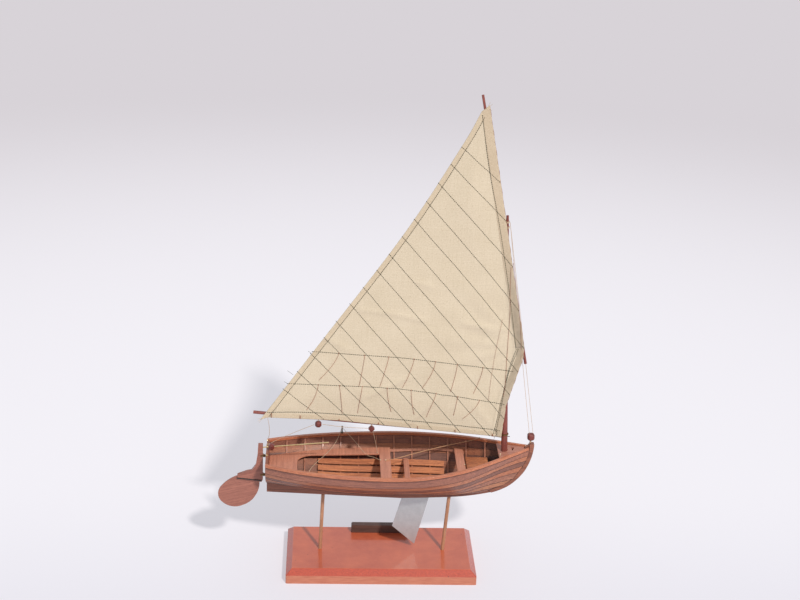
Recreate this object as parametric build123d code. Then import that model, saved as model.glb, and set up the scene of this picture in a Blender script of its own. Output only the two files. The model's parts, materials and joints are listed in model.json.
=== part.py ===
from build123d import *
import math
import os

# Lengths are millimetres. X runs from stern to bow, Y to port and Z up.
# The origin is the middle of the base's underside.

# Base, its name block and the two posts
BASE_LENGTH = 240.0
BASE_WIDTH = 122.0
BASE_THICKNESS = 18.0
BASE_CHAMFER_DOWN = 7.0
BASE_CHAMFER_IN = 7.7
BASE_CORNER = 2.0
NAME_BLOCK_LENGTH = 74.0
NAME_BLOCK_WIDTH = 9.0
NAME_BLOCK_HEIGHT = 11.0
NAME_BLOCK_ROUND = 2.2
NAME_BLOCK_AT = (0.0, 43.0)
POST_DIAMETER = 4.5
POST_SINK = 8.0
POST_PIN_DIAMETER = 1.5
POST_PIN_LENGTH = 5.0

# Clearances
FIT = 0.1
RIB_GAP = 0.25
SEAT_GAP = 0.12

# Hull
PLANK = 1.4
STRAKES = 7
KEEL_HALF = 2.0
STEM_HALF = 3.6
RABBET_HALF = 2.2
RAIL_WIDTH = 5.0
RAIL_DEPTH = 3.6
RAIL_INSET = 3.6
RAIL_FORE_END = (183.2, 5.0, 165.0, 2.8)
TRANSOM_X = -147.0
TRANSOM_THICKNESS = 3.0
TRANSOM_SIDE_TOP = 153.0
TRANSOM_CROWN = 154.6
RIB_WIDTH = 1.8
RIB_THICKNESS = 1.2
RIB_SPACING = 23.0
RIB_FIRST = -122.0
RIB_LAST = 132.0
RIB_TOP_SHARE = 0.9
RIB_INSIDE = RIB_GAP + RIB_THICKNESS + FIT
RISER_WIDTH = 1.4
RISER_DEPTH = 2.6
RISER_GAP = 0.2

# Columns: x at the keel, x at the sheer, half breadth of the rail, sheer height,
# height of the planking at the keel, deadrise, flare, lower and upper fullness, lap share
STATIONS = (
    (-147.0, -147.0, 38.1, 153.2, 113.6, 36.0, 6.0, 0.42, 0.45, 0.82),
    (-112.0, -110.0, 51.6, 152.2, 109.0, 28.0, 7.0, 0.40, 0.42, 0.82),
    (-72.0, -70.0, 61.2, 151.6, 104.0, 22.0, 8.0, 0.38, 0.36, 0.82),
    (-25.0, -20.0, 67.4, 151.3, 101.0, 18.0, 8.0, 0.36, 0.32, 0.82),
    (20.0, 28.0, 68.6, 151.6, 100.4, 18.0, 8.0, 0.36, 0.30, 0.82),
    (60.0, 72.0, 61.2, 153.3, 99.6, 22.0, 9.0, 0.40, 0.34, 0.82),
    (92.0, 110.0, 47.2, 156.4, 98.8, 31.0, 12.0, 0.50, 0.44, 0.82),
    (118.0, 144.0, 28.6, 160.0, 100.4, 43.0, 16.0, 0.50, 0.46, 0.90),
)

# Ends of the plank edges on the stem, from keel to sheer, as x and z
STEM_ENDS = (
    (135.0, 104.4),
    (153.6, 112.9),
    (165.4, 121.6),
    (172.2, 131.4),
    (177.2, 140.2),
    (180.8, 147.6),
    (182.8, 154.8),
    (183.7, 161.3),
)
STEM_LAP_SHARE = 0.97
GIRTH = (0.0, 0.165, 0.315, 0.455, 0.59, 0.725, 0.862, 1.0)

# Outside of the stem and the underside of the keel, as x and z
STEM_OUTSIDE = (
    (189.8, 169.5),
    (189.5, 163.5),
    (188.7, 157.4),
    (185.1, 143.9),
    (179.6, 131.8),
    (171.5, 121.0),
    (161.3, 111.4),
    (150.2, 105.1),
    (138.5, 100.8),
)
KEEL_UNDERSIDE = (
    (138.5, 100.8),
    (112.0, 95.7),
    (85.6, 93.2),
    (54.4, 91.8),
    (23.2, 90.9),
    (-76.1, 95.0),
    (-146.0, 98.0),
)
KEEL_TOP_ABOVE = 1.4
STEM_HEAD = (182.6, 170.0)
APRON_DEPTH = 5.0

# Inside the boat
PLATE_GAP = 0.2
FLOOR_SLAT = 1.5
FLOOR_ENDS = (-82.0, 80.0)
THWART_THICKNESS = 2.2
BENCH_THICKNESS = 2.2
BENCH_TOP = 135.4
CENTRE_THWART_TOP = BENCH_TOP + 0.2
FORE_THWART_TOP = BENCH_TOP + 6.1

# Columns: name, first x, last x, height of the top, gap between its ends and the ribs
THWARTS = (
    ("centre_thwart", -3.5, 10.5, CENTRE_THWART_TOP, PLATE_GAP),
    ("fore_thwart", 92.5, 103.5, FORE_THWART_TOP, PLATE_GAP),
    ("stretcher", 27.5, 34.5, 127.0, PLATE_GAP + FLOOR_SLAT),
)

# Columns: x, height of the riser's top
RISER_TOPS = (
    (-138.0, BENCH_TOP - BENCH_THICKNESS - FIT),
    (-100.0, BENCH_TOP - BENCH_THICKNESS - FIT),
    (-50.0, BENCH_TOP - BENCH_THICKNESS - FIT),
    (12.0, CENTRE_THWART_TOP - THWART_THICKNESS - FIT),
    (50.0, CENTRE_THWART_TOP - THWART_THICKNESS + 2.6),
    (90.0, FORE_THWART_TOP - THWART_THICKNESS - 4 * FIT),
    (105.5, FORE_THWART_TOP - THWART_THICKNESS - 2 * FIT),
)
BENCH_AFT = -143.6
BENCH_NOTCH = -108.0
BENCH_INNER = 34.5
BENCH_NOTCH_SLOPE = 6.0
BENCH_NOTCH_ROUND = 20.0

# Columns: first x, last x, height of the top aft, thickness, gap at the ribs, rise forwards
FORE_SOLE = (106.5, 133.5, 133.8, 1.8, PLATE_GAP, 5.8)
MAST_STEP = (147.5, 159.5, 134.0, 3.0, PLATE_GAP, 0.0)
FOREDECK_AFT = 144.5
FOREDECK_FORE = 178.0
FOREDECK_STEPS = 5
FOREDECK_DROP = 1.6
FOREDECK_THICKNESS = 2.4
DECK_NOTCH = ((161.8, 6.6), (165.6, 4.1), (162.7, -3.4))

# Centreboard as x and z
BOARD_THICKNESS = 1.2
BOARD = ((27.0, 97.0), (61.1, 97.0), (43.4, 24.4), (14.2, 50.2))

# Rudder as x and z
RUDDER_AXIS_X = -149.6
STOCK_THICKNESS = 5.0
STOCK_FORE = -151.0
BLADE_THICKNESS = 2.0
STOCK = (
    (STOCK_FORE, 164.0),
    (-156.8, 164.0),
    (-157.6, 150.0),
    (-159.8, 135.5),
    (-165.3, 127.4),
    (-171.0, 126.2),
    (-183.0, 121.4),
    (-183.2, 115.2),
    (-152.7, 111.9),
    (STOCK_FORE, 115.0),
)
BLADE = (
    (-155.5, 114.0),
    (-156.6, 100.0),
    (-160.3, 92.0),
    (-167.2, 83.3),
    (-176.1, 78.2),
    (-189.7, 76.0),
    (-202.0, 82.0),
    (-207.4, 92.5),
    (-204.7, 103.0),
    (-193.5, 114.0),
    (-183.0, 119.6),
    (-171.0, 122.6),
    (-160.0, 121.0),
)
HINGE_HEIGHTS = (120.5, 147.0)
PINTLE_DIAMETER = 1.2
PINTLE_BORE = 1.4
GUDGEON_DIAMETER = 2.8
GUDGEON_HEIGHT = 1.4
STRAP_THICKNESS = 0.6
STRAP_LENGTH = 3.2
TILLER_DIAMETER = 1.7
TILLER_START = (-154.0, 0.0, 158.8)
TILLER_END = (-68.7, 0.0, 166.9)
TILLER_BEAD_AT = -140.3
TILLER_BEAD = (7.0, 8.6, 2.3)

# Rig
MAST_FOOT_Z = 134.3
MAST_TOP = (139.3, 0.0, 469.6)
MAST_DECK = (152.5, 0.0, 160.9)
MAST_DECK_DIAMETER = 8.3
MAST_TOP_DIAMETER = 3.3
MAST_TAPER_FROM = 186.0
YARD_TOP = (101.8, 616.8)
YARD_HEEL = (171.8, 279.9)
YARD_TOP_DIAMETER = 3.0
YARD_MIDDLE_DIAMETER = 4.4
YARD_HEEL_DIAMETER = 3.6
BOOM_AFT = (-162.9, 209.2)
BOOM_FORE = (146.0, 182.2)
BOOM_DIAMETER = 4.0

# Sail as x and z: from the peak round by throat, tack and clew, then up the hollow leech
SAIL = (
    (101.8, 598.4),
    (110.0, 605.3),
    (167.9, 303.9),
    (167.9, 289.7),
    (150.4, 225.0),
    (146.5, 180.6),
    (-145.8, 203.3),
    (-153.8, 200.1),
)
LEECH = ((-92.1, 288.9), (13.8, 442.4), (79.8, 554.8))
SAIL_THICKNESS = 0.6
SAIL_Y = -5.8
SAIL_LEAN = -0.0054
SAIL_LEAN_FROM = 195.0
RING_GAP = 0.25
RING_WALL = 0.8
RING_HEIGHT = 1.4
PARREL_HEIGHT = 428.0
GOOSENECK_DIAMETER = 1.2
GOOSENECK_LENGTH = 1.6
MAST_PIN_DIAMETER = 0.9
MAST_PIN_HEIGHT = 178.5
MAST_PIN_ENDS = (143.7, 158.6)
STAY_DIAMETER = 0.6
STAY_TOP = 462.0
STAY_SPREAD = 2.4
STEM_BEAD = (185.2, 0.0, 178.6)
STEM_BEAD_SIDE = 9.0
STEM_BEAD_CUT = 1.9
SEIZING_DIAMETER = 1.2
STROP_DIAMETER = 1.0
ROUND_BLOCK = (-82.2, 193.9)
ROUND_BLOCK_SIDE = 8.0
ROUND_BLOCK_CUT = 2.2
SQUARE_BLOCK = (-15.8, 188.6)
SQUARE_BLOCK_SIDE = 6.4
SQUARE_BLOCK_CUT = 1.0
STANCHION_AT = (-51.5, 61.5)
STANCHION_FOOT = 151.4
STANCHION_FLARE = 2.2
STANCHION_HEIGHT = 9.0
STANCHION_DIAMETER = 1.8


def mix(a, b, share):
    return tuple(p + (q - p) * share for p, q in zip(a, b))


def along(point, direction, amount):
    return tuple(p + d * amount for p, d in zip(point, direction))


def section_points(row):
    """Plank edges of one station on the port side, keel to sheer."""
    x_keel, x_sheer, breadth, sheer, low, dead, flare, fullness, top_fullness, _ = row
    start = (RABBET_HALF, low)
    end = (breadth - RAIL_INSET, sheer - RAIL_DEPTH - FIT)
    dead, flare = math.radians(dead), math.radians(flare)
    reach = (end[0] - start[0]) * fullness
    rise = (end[1] - start[1]) * top_fullness
    low_handle = (start[0] + reach * math.cos(dead), start[1] + reach * math.sin(dead))
    top_handle = (end[0] - rise * math.sin(flare), end[1] - rise * math.cos(flare))
    curve = []
    for step in range(121):
        t = step / 120
        s = 1 - t
        curve.append(
            tuple(
                s**3 * a + 3 * s * s * t * b + 3 * s * t * t * c + t**3 * d
                for a, b, c, d in zip(start, low_handle, top_handle, end)
            )
        )
    lengths = [0.0]
    for a, b in zip(curve, curve[1:]):
        lengths.append(lengths[-1] + math.dist(a, b))
    points = []
    for share in GIRTH:
        wanted = share * lengths[-1]
        index = max(i for i, value in enumerate(lengths) if value <= wanted + 1e-9)
        y, z = curve[min(index, 120)]
        height = (z - low) / (end[1] - low)
        points.append((x_keel + (x_sheer - x_keel) * height, y, z))
    return points


def edge_normals(points, at_stem):
    """Outward directions at the plank edges of one station."""
    if at_stem:
        return [(0.0, 1.0, 0.0)] * len(points)
    chords = []
    for a, b in zip(points, points[1:]):
        length = math.hypot(b[1] - a[1], b[2] - a[2])
        chords.append(((b[2] - a[2]) / length, -(b[1] - a[1]) / length))
    normals = []
    for index in range(len(points)):
        near = [chords[i] for i in (index - 1, index) if 0 <= i < len(chords)]
        y = sum(n[0] for n in near)
        z = sum(n[1] for n in near)
        length = math.hypot(y, z)
        normals.append((0.0, y / length, z / length))
    return normals


EDGES = [section_points(row) for row in STATIONS]
EDGES.append([(x, RABBET_HALF, z) for x, z in STEM_ENDS])
NORMALS = [edge_normals(points, i == len(STATIONS)) for i, points in enumerate(EDGES)]
LAPS = [row[9] for row in STATIONS] + [STEM_LAP_SHARE]
# One shared parameter for each station keeps neighbouring planks parallel
SHARES = [(row[1] - STATIONS[0][1]) / (STEM_ENDS[-1][0] - STATIONS[0][1]) for row in STATIONS]
SHARES.append(1.0)


def fair(points, shares=SHARES):
    return Edge.make_spline([Vector(*p) for p in points], parameters=shares)


EDGE_CURVES = [fair([station[i] for station in EDGES]) for i in range(STRAKES + 1)]


def plank_section(station, strake):
    points, normals = EDGES[station], NORMALS[station]
    low, top = points[strake], points[strake + 1]
    n_low, n_top = normals[strake], normals[strake + 1]
    if strake == 0:
        return [low, top, along(top, n_top, PLANK), along(low, n_low, PLANK)]
    under = points[strake - 1]
    depth = PLANK if strake == 1 else 2 * PLANK + FIT
    under_outer = along(under, normals[strake - 1], depth)
    seat = along(low, n_low, PLANK + FIT)
    if station == len(STATIONS):
        lap = mix(seat, along(top, n_top, PLANK + FIT), STEM_LAP_SHARE - 1)
    else:
        lap = along(
            mix(under_outer, along(low, n_low, PLANK), LAPS[station]), n_low, FIT
        )
    return [lap, seat, top, along(top, n_top, PLANK), along(lap, n_low, PLANK)]


def closed_wire(points):
    return Wire.make_polygon([Vector(*p) for p in points], close=True)


def skinned(sections, shares=SHARES):
    """Solid through like-numbered section corners, flat across and fair along."""
    lines = [fair(line, shares) for line in zip(*sections)]
    faces = [
        Face.make_surface_from_curves(a, b) for a, b in zip(lines, lines[1:] + lines[:1])
    ]
    ends = [Face(closed_wire(sections[0])), Face(closed_wire(sections[-1]))]
    return Solid(Shell(faces + ends))


def plank(strake):
    return skinned([plank_section(s, strake) for s in range(len(EDGES))])


def both_sides(shapes):
    port = list(shapes)
    return Compound(children=port + [mirror(shape, Plane.XZ) for shape in port])


def even_shares(sections):
    first, last = sections[0][0][0], sections[-1][0][0]
    return [(section[0][0] - first) / (last - first) for section in sections]


def point_at(curve, x):
    """Point at a given x of a curve that runs forwards."""
    low, high = 0.0, 1.0
    for _ in range(22):
        middle = (low + high) / 2
        if (curve @ middle).X < x:
            low = middle
        else:
            high = middle
    point = curve @ ((low + high) / 2)
    return point.Y, point.Z


def edge_at(index, x):
    return point_at(EDGE_CURVES[index], x)


def inside_line(x, inset):
    """Inner faces of the planking at x as y and z, moved inwards."""
    raw = [edge_at(i, x) for i in range(STRAKES + 1)]
    raw = [(x, y, z) for y, z in raw]
    normals = edge_normals(raw, False)
    return [along(p, n, -inset)[1:] for p, n in zip(raw, normals)]


def inside_y(x, z, inset):
    line = inside_line(x, inset)
    for (y0, z0), (y1, z1) in zip(line, line[1:]):
        if z0 <= z <= z1:
            return y0 + (y1 - y0) * (z - z0) / (z1 - z0)
    return line[-1][0] if z > line[-1][1] else line[0][0]


def face_xz(points):
    return Face(Wire.make_polygon([Vector(x, 0, z) for x, z in points], close=True))


def closed_face(*curves):
    return Face(Wire([edge for curve in curves for edge in curve.edges()]))


def arcs_xz(points):
    """Arcs in the middle plane through each three points in turn."""
    places = [(x, 0, z) for x, z in points]
    return [ThreePointArc(*places[i : i + 3]) for i in range(0, len(places) - 2, 2)]


def slab_xz(points, half):
    """Outline in the middle plane given a thickness to both sides."""
    return extrude(face_xz(points), amount=half, dir=(0, 1, 0), both=True)


def rod(start, end, diameter):
    start, end = Vector(*start), Vector(*end)
    return Solid.make_cylinder(diameter / 2, (end - start).length, Plane(origin=start, z_dir=end - start))


def spar(stations):
    """Round tapered spar through rings given as centre and diameter."""
    way = Vector(*stations[-1][0]) - Vector(*stations[0][0])
    rings = []
    for centre, diameter in stations:
        plane = Plane(origin=centre, z_dir=way)
        rings.append([Edge.make_circle(diameter / 2, plane, a, a + 90) for a in (0, 90, 180, 270)])
    faces = []
    for ring, above in zip(rings, rings[1:]):
        faces += [Face.make_surface_from_curves(a, b) for a, b in zip(ring, above)]
    return Solid(Shell(faces + [Face(Wire(rings[0])), Face(Wire(rings[-1]))]))


def carved_bead(length, width, cut):
    """Block with all its edges cut back."""
    return chamfer(Box(length, width, width).edges(), cut)


def mast_at(z):
    share = (z - MAST_DECK[2]) / (MAST_TOP[2] - MAST_DECK[2])
    x = MAST_DECK[0] + (MAST_TOP[0] - MAST_DECK[0]) * share
    diameter = MAST_DECK_DIAMETER + (MAST_TOP_DIAMETER - MAST_DECK_DIAMETER) * share
    return x, min(diameter, MAST_DECK_DIAMETER)


def sail_y(z):
    return SAIL_Y + SAIL_LEAN * (z - SAIL_LEAN_FROM)


parts = {}

# Base
shoulder = BASE_THICKNESS - BASE_CHAMFER_DOWN
footprint = RectangleRounded(BASE_LENGTH, BASE_WIDTH, BASE_CORNER)
top_length = BASE_LENGTH - 2 * BASE_CHAMFER_IN
top_width = BASE_WIDTH - 2 * BASE_CHAMFER_IN
top_shape = RectangleRounded(top_length, top_width, BASE_CORNER / 4)
blank = extrude(footprint, amount=shoulder)
blank += loft([Pos(0, 0, shoulder) * footprint, Pos(0, 0, BASE_THICKNESS) * top_shape], ruled=True)
POSTS = (("post_aft", (-77.5, -2.8), (-74.8, 95.0)), ("post_fore", (80.0, -3.0), (85.6, 93.5)))


def post_line(foot, head):
    start = Vector(foot[0], foot[1], BASE_THICKNESS)
    end = Vector(head[0], 0, head[1])
    return start, end, (end - start).normalized()


keel_cuts = []
for name, foot, head in POSTS:
    start, end, way = post_line(foot, head)
    low = start - way * POST_SINK
    blank -= rod(low - way * FIT, end, POST_DIAMETER + 2 * FIT)
    pin_end = end + way * (POST_PIN_LENGTH - 0.25)
    post = rod(low, end - way * 0.5, POST_DIAMETER)
    parts[name] = post + rod(end - way * 1.0, pin_end, POST_PIN_DIAMETER)
    keel_cuts.append(rod(end - way * 2.0, pin_end + way * FIT, POST_PIN_DIAMETER + 2 * FIT))
parts["base_board"] = blank

block = Box(NAME_BLOCK_LENGTH, NAME_BLOCK_WIDTH, NAME_BLOCK_HEIGHT)
block = fillet(block.faces().sort_by(Axis.Z)[-1].edges().filter_by(Axis.Y), NAME_BLOCK_ROUND)
block_z = BASE_THICKNESS + NAME_BLOCK_HEIGHT / 2
parts["name_block"] = Pos(NAME_BLOCK_AT[0], NAME_BLOCK_AT[1], block_z) * block

# Planking
for strake in range(STRAKES):
    parts[f"strake_{strake + 1}"] = both_sides([plank(strake)])


# Gunwale rails, as x, outer half breadth, height and width
rail_rows = [(row[1], row[2], row[3], RAIL_WIDTH) for row in STATIONS] + [RAIL_FORE_END]
rail_sections = [
    [(x, y, z), (x, y - w, z), (x, y - w, z - RAIL_DEPTH), (x, y, z - RAIL_DEPTH)]
    for x, y, z, w in rail_rows
]
parts["rails"] = both_sides([skinned(rail_sections)])
rail_inner = fair([section[1] for section in rail_sections])

# Keel and stem
keel_line = arcs_xz(KEEL_UNDERSIDE)
keel_top = [(row[0], 0, row[4] + KEEL_TOP_ABOVE) for row in STATIONS]
keel_top[0] = (KEEL_UNDERSIDE[-1][0], 0, keel_top[0][2])
keel_fore_top = (KEEL_UNDERSIDE[0][0] - 8.0, 0, STEM_ENDS[0][1] - 0.2)
keel_rest = Polyline(*([keel_line[-1] @ 1] + keel_top + [keel_fore_top, keel_line[0] @ 0]))
keel = extrude(closed_face(*keel_line, keel_rest), amount=KEEL_HALF, dir=(0, 1, 0), both=True)
for cut in keel_cuts:
    keel -= cut
board_slot = slab_xz(
    [
        (BOARD[0][0] - FIT, BOARD[0][1] + FIT),
        (BOARD[1][0] + FIT, BOARD[1][1] + FIT),
        (BOARD[2][0] + FIT, BOARD[2][1]),
        (BOARD[3][0] - FIT, BOARD[3][1]),
    ],
    BOARD_THICKNESS / 2 + FIT,
)
keel -= board_slot
parts["keel"] = keel

stem_line = arcs_xz(STEM_OUTSIDE)
ends = [(x + SEAT_GAP, z - SEAT_GAP) for x, z in STEM_ENDS]
joint_top = (keel_fore_top[0] + FIT, keel_fore_top[2])
outer_back = [(x, 0, z) for x, z in ends]
stem_back = [stem_line[-1] @ 1] + outer_back
stem_rest = Polyline(*(stem_back + [(STEM_HEAD[0] + 1.5, 0, STEM_HEAD[1]), stem_line[0] @ 0]))
stem = extrude(closed_face(*stem_line, stem_rest), amount=STEM_HALF, dir=(0, 1, 0), both=True)
apron = [(x, z) for x, z in ends]
inner = [(x - APRON_DEPTH, z + 0.45 * APRON_DEPTH) for x, z in reversed(STEM_ENDS[1:-1])]
apron_face = apron + [(STEM_HEAD[0] + 1.5, 168.0), (STEM_ENDS[-1][0] - APRON_DEPTH, 164.0)]
apron_face += inner
apron_face += [(joint_top[0] + 0.6, joint_top[1] + 1.2), (joint_top[0], joint_top[1])]
apron_face += [(STEM_OUTSIDE[-1][0] + 2 * FIT, STEM_OUTSIDE[-1][1] + 0.3)]
apron_face += [(ends[0][0] + 3.0, STEM_OUTSIDE[-1][1] + 0.8)]
stem += slab_xz(apron_face, KEEL_HALF)
parts["stem"] = stem

# Transom
transom_pair = []
for x in (TRANSOM_X + 0.02, TRANSOM_X + TRANSOM_THICKNESS):
    raw = [(x, *edge_at(i, x)) for i in range(STRAKES + 1)]
    normals = edge_normals(raw, False)
    outline = []
    for index, (point, normal) in enumerate(zip(raw, normals)):
        outline.append(along(point, normal, -SEAT_GAP))
        if 0 < index < STRAKES:
            outline.append(along(point, normal, PLANK - SEAT_GAP))
    outline[0] = (x, outline[0][1], STATIONS[0][4] + KEEL_TOP_ABOVE + SEAT_GAP)
    bottom = (x, 0.0, outline[0][2])
    rail_under = STATIONS[0][3] - RAIL_DEPTH - SEAT_GAP
    outline[-1] = (x, outline[-1][1], rail_under)
    inner_y = STATIONS[0][2] - RAIL_WIDTH - 0.3
    crown = [(x, inner_y, rail_under), (x, inner_y, TRANSOM_SIDE_TOP), (x, 0.0, TRANSOM_CROWN)]
    half = outline + crown
    other = [(p[0], -p[1], p[2]) for p in reversed(half[:-1])]
    transom_pair.append(closed_wire([bottom] + half + other))
parts["transom"] = Solid.make_loft(transom_pair, ruled=True)

# Ribs
ribs = []
for number in range(int((RIB_LAST - RIB_FIRST) / RIB_SPACING) + 1):
    x = RIB_FIRST + number * RIB_SPACING
    wires = []
    for edge_x in (x - RIB_WIDTH / 2, x + RIB_WIDTH / 2):
        outer = inside_line(edge_x, RIB_GAP)
        within = inside_line(edge_x, RIB_GAP + RIB_THICKNESS)
        low_share = 0.12 if x < 110 else 0.6
        outer[0] = mix(outer[0], outer[1], low_share)
        within[0] = mix(within[0], within[1], low_share)
        outer[-1] = mix(outer[-2], outer[-1], RIB_TOP_SHARE)
        within[-1] = mix(within[-2], within[-1], RIB_TOP_SHARE)
        loop = outer + list(reversed(within))
        wires.append(closed_wire([(edge_x, y, z) for y, z in loop]))
    ribs.append(Solid.make_loft(wires, ruled=True))
parts["ribs"] = both_sides(ribs)

# Risers that carry the thwarts and benches
riser_sections = []
for x, top in RISER_TOPS:
    y_top = inside_y(x, top, RIB_INSIDE + RISER_GAP)
    y_low = inside_y(x, top - RISER_DEPTH, RIB_INSIDE + RISER_GAP)
    riser_sections.append(
        [
            (x, y_top, top),
            (x, y_top - RISER_WIDTH, top),
            (x, y_low - RISER_WIDTH, top - RISER_DEPTH),
            (x, y_low, top - RISER_DEPTH),
        ]
    )
parts["risers"] = both_sides([skinned(riser_sections, even_shares(riser_sections))])


def cross_plate(first_x, last_x, top, thickness, gap, rise=0.0):
    """Flat plate across the boat whose ends follow the ribs."""
    outline = []
    for x, height in ((first_x, top), (last_x, top + rise)):
        y = inside_y(x, height - thickness, RIB_INSIDE + gap)
        outline += [(x, -y, height), (x, y, height)]
    face = Face(closed_wire([outline[i] for i in (0, 1, 3, 2)]))
    return extrude(face, amount=thickness, dir=(0, 0, -1))


for name, first_x, last_x, top, gap in THWARTS:
    parts[name] = cross_plate(first_x, last_x, top, THWART_THICKNESS, gap)

# Stern bench with its side arms
outline = []
for x in (BENCH_AFT, -125.0, -100.0, -75.0, -50.0, -25.0, THWARTS[0][1] - FIT):
    outline.append((x, inside_y(x, BENCH_TOP - BENCH_THICKNESS, RIB_INSIDE + PLATE_GAP)))
end_x = outline[-1][0]
outline += [(end_x, BENCH_INNER), (BENCH_NOTCH, BENCH_INNER - BENCH_NOTCH_SLOPE)]
mirrored = [(x, -y) for x, y in reversed(outline)]
bench_face = Face(
    Wire.make_polygon([Vector(x, y, BENCH_TOP) for x, y in outline + mirrored], close=True)
)
bench = extrude(bench_face, amount=BENCH_THICKNESS, dir=(0, 0, -1))
notch_edges = bench.edges().filter_by(Axis.Z).filter_by(
    lambda e: abs(e.center().X - BENCH_NOTCH) < 0.5 and abs(e.center().Y) < BENCH_INNER
)
parts["stern_bench"] = fillet(notch_edges, BENCH_NOTCH_ROUND)

# Bottom boards laid on the ribs
slats = []
for strake in range(4):
    sections = []
    for x in (FLOOR_ENDS[0], -40.0, 0.0, 40.0, FLOOR_ENDS[1]):
        low_line = inside_line(x, RIB_INSIDE)
        top_line = inside_line(x, RIB_INSIDE + FLOOR_SLAT)
        share_low, share_top = (0.3, 0.9) if strake == 0 else (0.12, 0.88)
        loop = [
            mix(low_line[strake], low_line[strake + 1], share_low),
            mix(low_line[strake], low_line[strake + 1], share_top),
            mix(top_line[strake], top_line[strake + 1], share_top),
            mix(top_line[strake], top_line[strake + 1], share_low),
        ]
        sections.append([(x, y, z) for y, z in loop])
    slats.append(skinned(sections, even_shares(sections)))
parts["bottom_boards"] = both_sides(slats)

parts["fore_sole"] = cross_plate(*FORE_SOLE)
parts["mast_step"] = cross_plate(*MAST_STEP)

# Foredeck, one flat sloping plate with the mast hole
deck_aft_z, deck_fore_z = [point_at(rail_inner, x)[1] - FOREDECK_DROP for x in (FOREDECK_AFT, FOREDECK_FORE)]
outline = []
for step in range(FOREDECK_STEPS + 1):
    share = step / FOREDECK_STEPS
    x = FOREDECK_AFT + (FOREDECK_FORE - FOREDECK_AFT) * share
    outline.append((x, point_at(rail_inner, x)[0] - RIB_GAP, deck_aft_z + (deck_fore_z - deck_aft_z) * share))
outline += [(x, -y, z) for x, y, z in reversed(outline)]
foredeck = extrude(Face(closed_wire(outline)), amount=FOREDECK_THICKNESS, dir=(0, 0, -1))
mast_low = (mast_at(130.0)[0], 0, 130.0)
mast_high = (mast_at(190.0)[0], 0, 190.0)
foredeck -= rod(mast_low, mast_high, MAST_DECK_DIAMETER + 2 * FIT)
notch_face = Face(closed_wire([(x, y, MAST_FOOT_Z) for x, y in DECK_NOTCH]))
foredeck -= extrude(notch_face, amount=60.0, dir=(0, 0, 1))
parts["foredeck"] = foredeck

# Centreboard
parts["centreboard"] = slab_xz(BOARD, BOARD_THICKNESS / 2)

# Rudder
stock = slab_xz(STOCK, STOCK_THICKNESS / 2)
blade_face = closed_face(*arcs_xz(BLADE), Line((BLADE[-1][0], 0, BLADE[-1][1]), (BLADE[0][0], 0, BLADE[0][1])))
blade = extrude(blade_face, amount=BLADE_THICKNESS / 2, dir=(0, 1, 0), both=True)
pocket = [(-200.0, 100.0), (-200.0, 123.4), (-171.0, 123.4), (-154.4, 123.4), (-154.4, 100.0)]
stock -= slab_xz(pocket, BLADE_THICKNESS / 2 + FIT)
tiller_hole = TILLER_DIAMETER + 2 * FIT
stock -= rod(TILLER_START, TILLER_END, tiller_hole)
parts["rudder_stock"] = stock
parts["rudder_blade"] = blade
tiller_way = (Vector(*TILLER_END) - Vector(*TILLER_START)).normalized()
parts["tiller"] = rod(Vector(*TILLER_START) + tiller_way * 2 * FIT, TILLER_END, TILLER_DIAMETER)

slope = (TILLER_END[2] - TILLER_START[2]) / (TILLER_END[0] - TILLER_START[0])
bead_z = TILLER_START[2] + slope * (TILLER_BEAD_AT - TILLER_START[0])
bead_plane = Plane(origin=(TILLER_BEAD_AT, 0, bead_z), z_dir=(1, 0, slope))
bead = bead_plane * Rot(0, 90, 0) * carved_bead(*TILLER_BEAD)
parts["tiller_bead"] = bead - rod(TILLER_START, TILLER_END, tiller_hole)

pintles = []
gudgeons = []
for height in HINGE_HEIGHTS:
    eye = Pos(RUDDER_AXIS_X, 0, height) * Cylinder(GUDGEON_DIAMETER / 2, GUDGEON_HEIGHT)
    plate_x = TRANSOM_X - FIT - STRAP_THICKNESS / 2
    plate = Pos(plate_x, 0, height) * Box(STRAP_THICKNESS, 4.4, 5.0)
    neck_end = plate_x + STRAP_THICKNESS / 2
    neck = Pos((RUDDER_AXIS_X + neck_end) / 2, 0, height) * Box(
        neck_end - RUDDER_AXIS_X, 1.8, GUDGEON_HEIGHT
    )
    bore = Pos(RUDDER_AXIS_X, 0, height) * Cylinder(PINTLE_BORE / 2, 4.0)
    gudgeons.append(eye + plate + neck - bore)
    strap_z = height + GUDGEON_HEIGHT / 2 + FIT + 0.7
    pin = Pos(RUDDER_AXIS_X, 0, height) * Cylinder(PINTLE_DIAMETER / 2, GUDGEON_HEIGHT + 1.6)
    head = Pos(RUDDER_AXIS_X, 0, strap_z) * Cylinder(GUDGEON_DIAMETER / 2, 1.4)
    inside = 2 * (STOCK_THICKNESS / 2 + FIT)
    strap = Box(STRAP_LENGTH + STRAP_THICKNESS, inside + 2 * STRAP_THICKNESS, GUDGEON_HEIGHT)
    strap -= Pos(-STRAP_THICKNESS, 0, 0) * Box(STRAP_LENGTH + STRAP_THICKNESS, inside, 3.0)
    strap_x = STOCK_FORE + FIT + STRAP_THICKNESS / 2 - STRAP_LENGTH / 2
    pintles.append(pin + head + Pos(strap_x, 0, strap_z) * strap)
parts["gudgeons"] = Compound(children=gudgeons)
parts["pintles"] = Compound(children=pintles)

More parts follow.
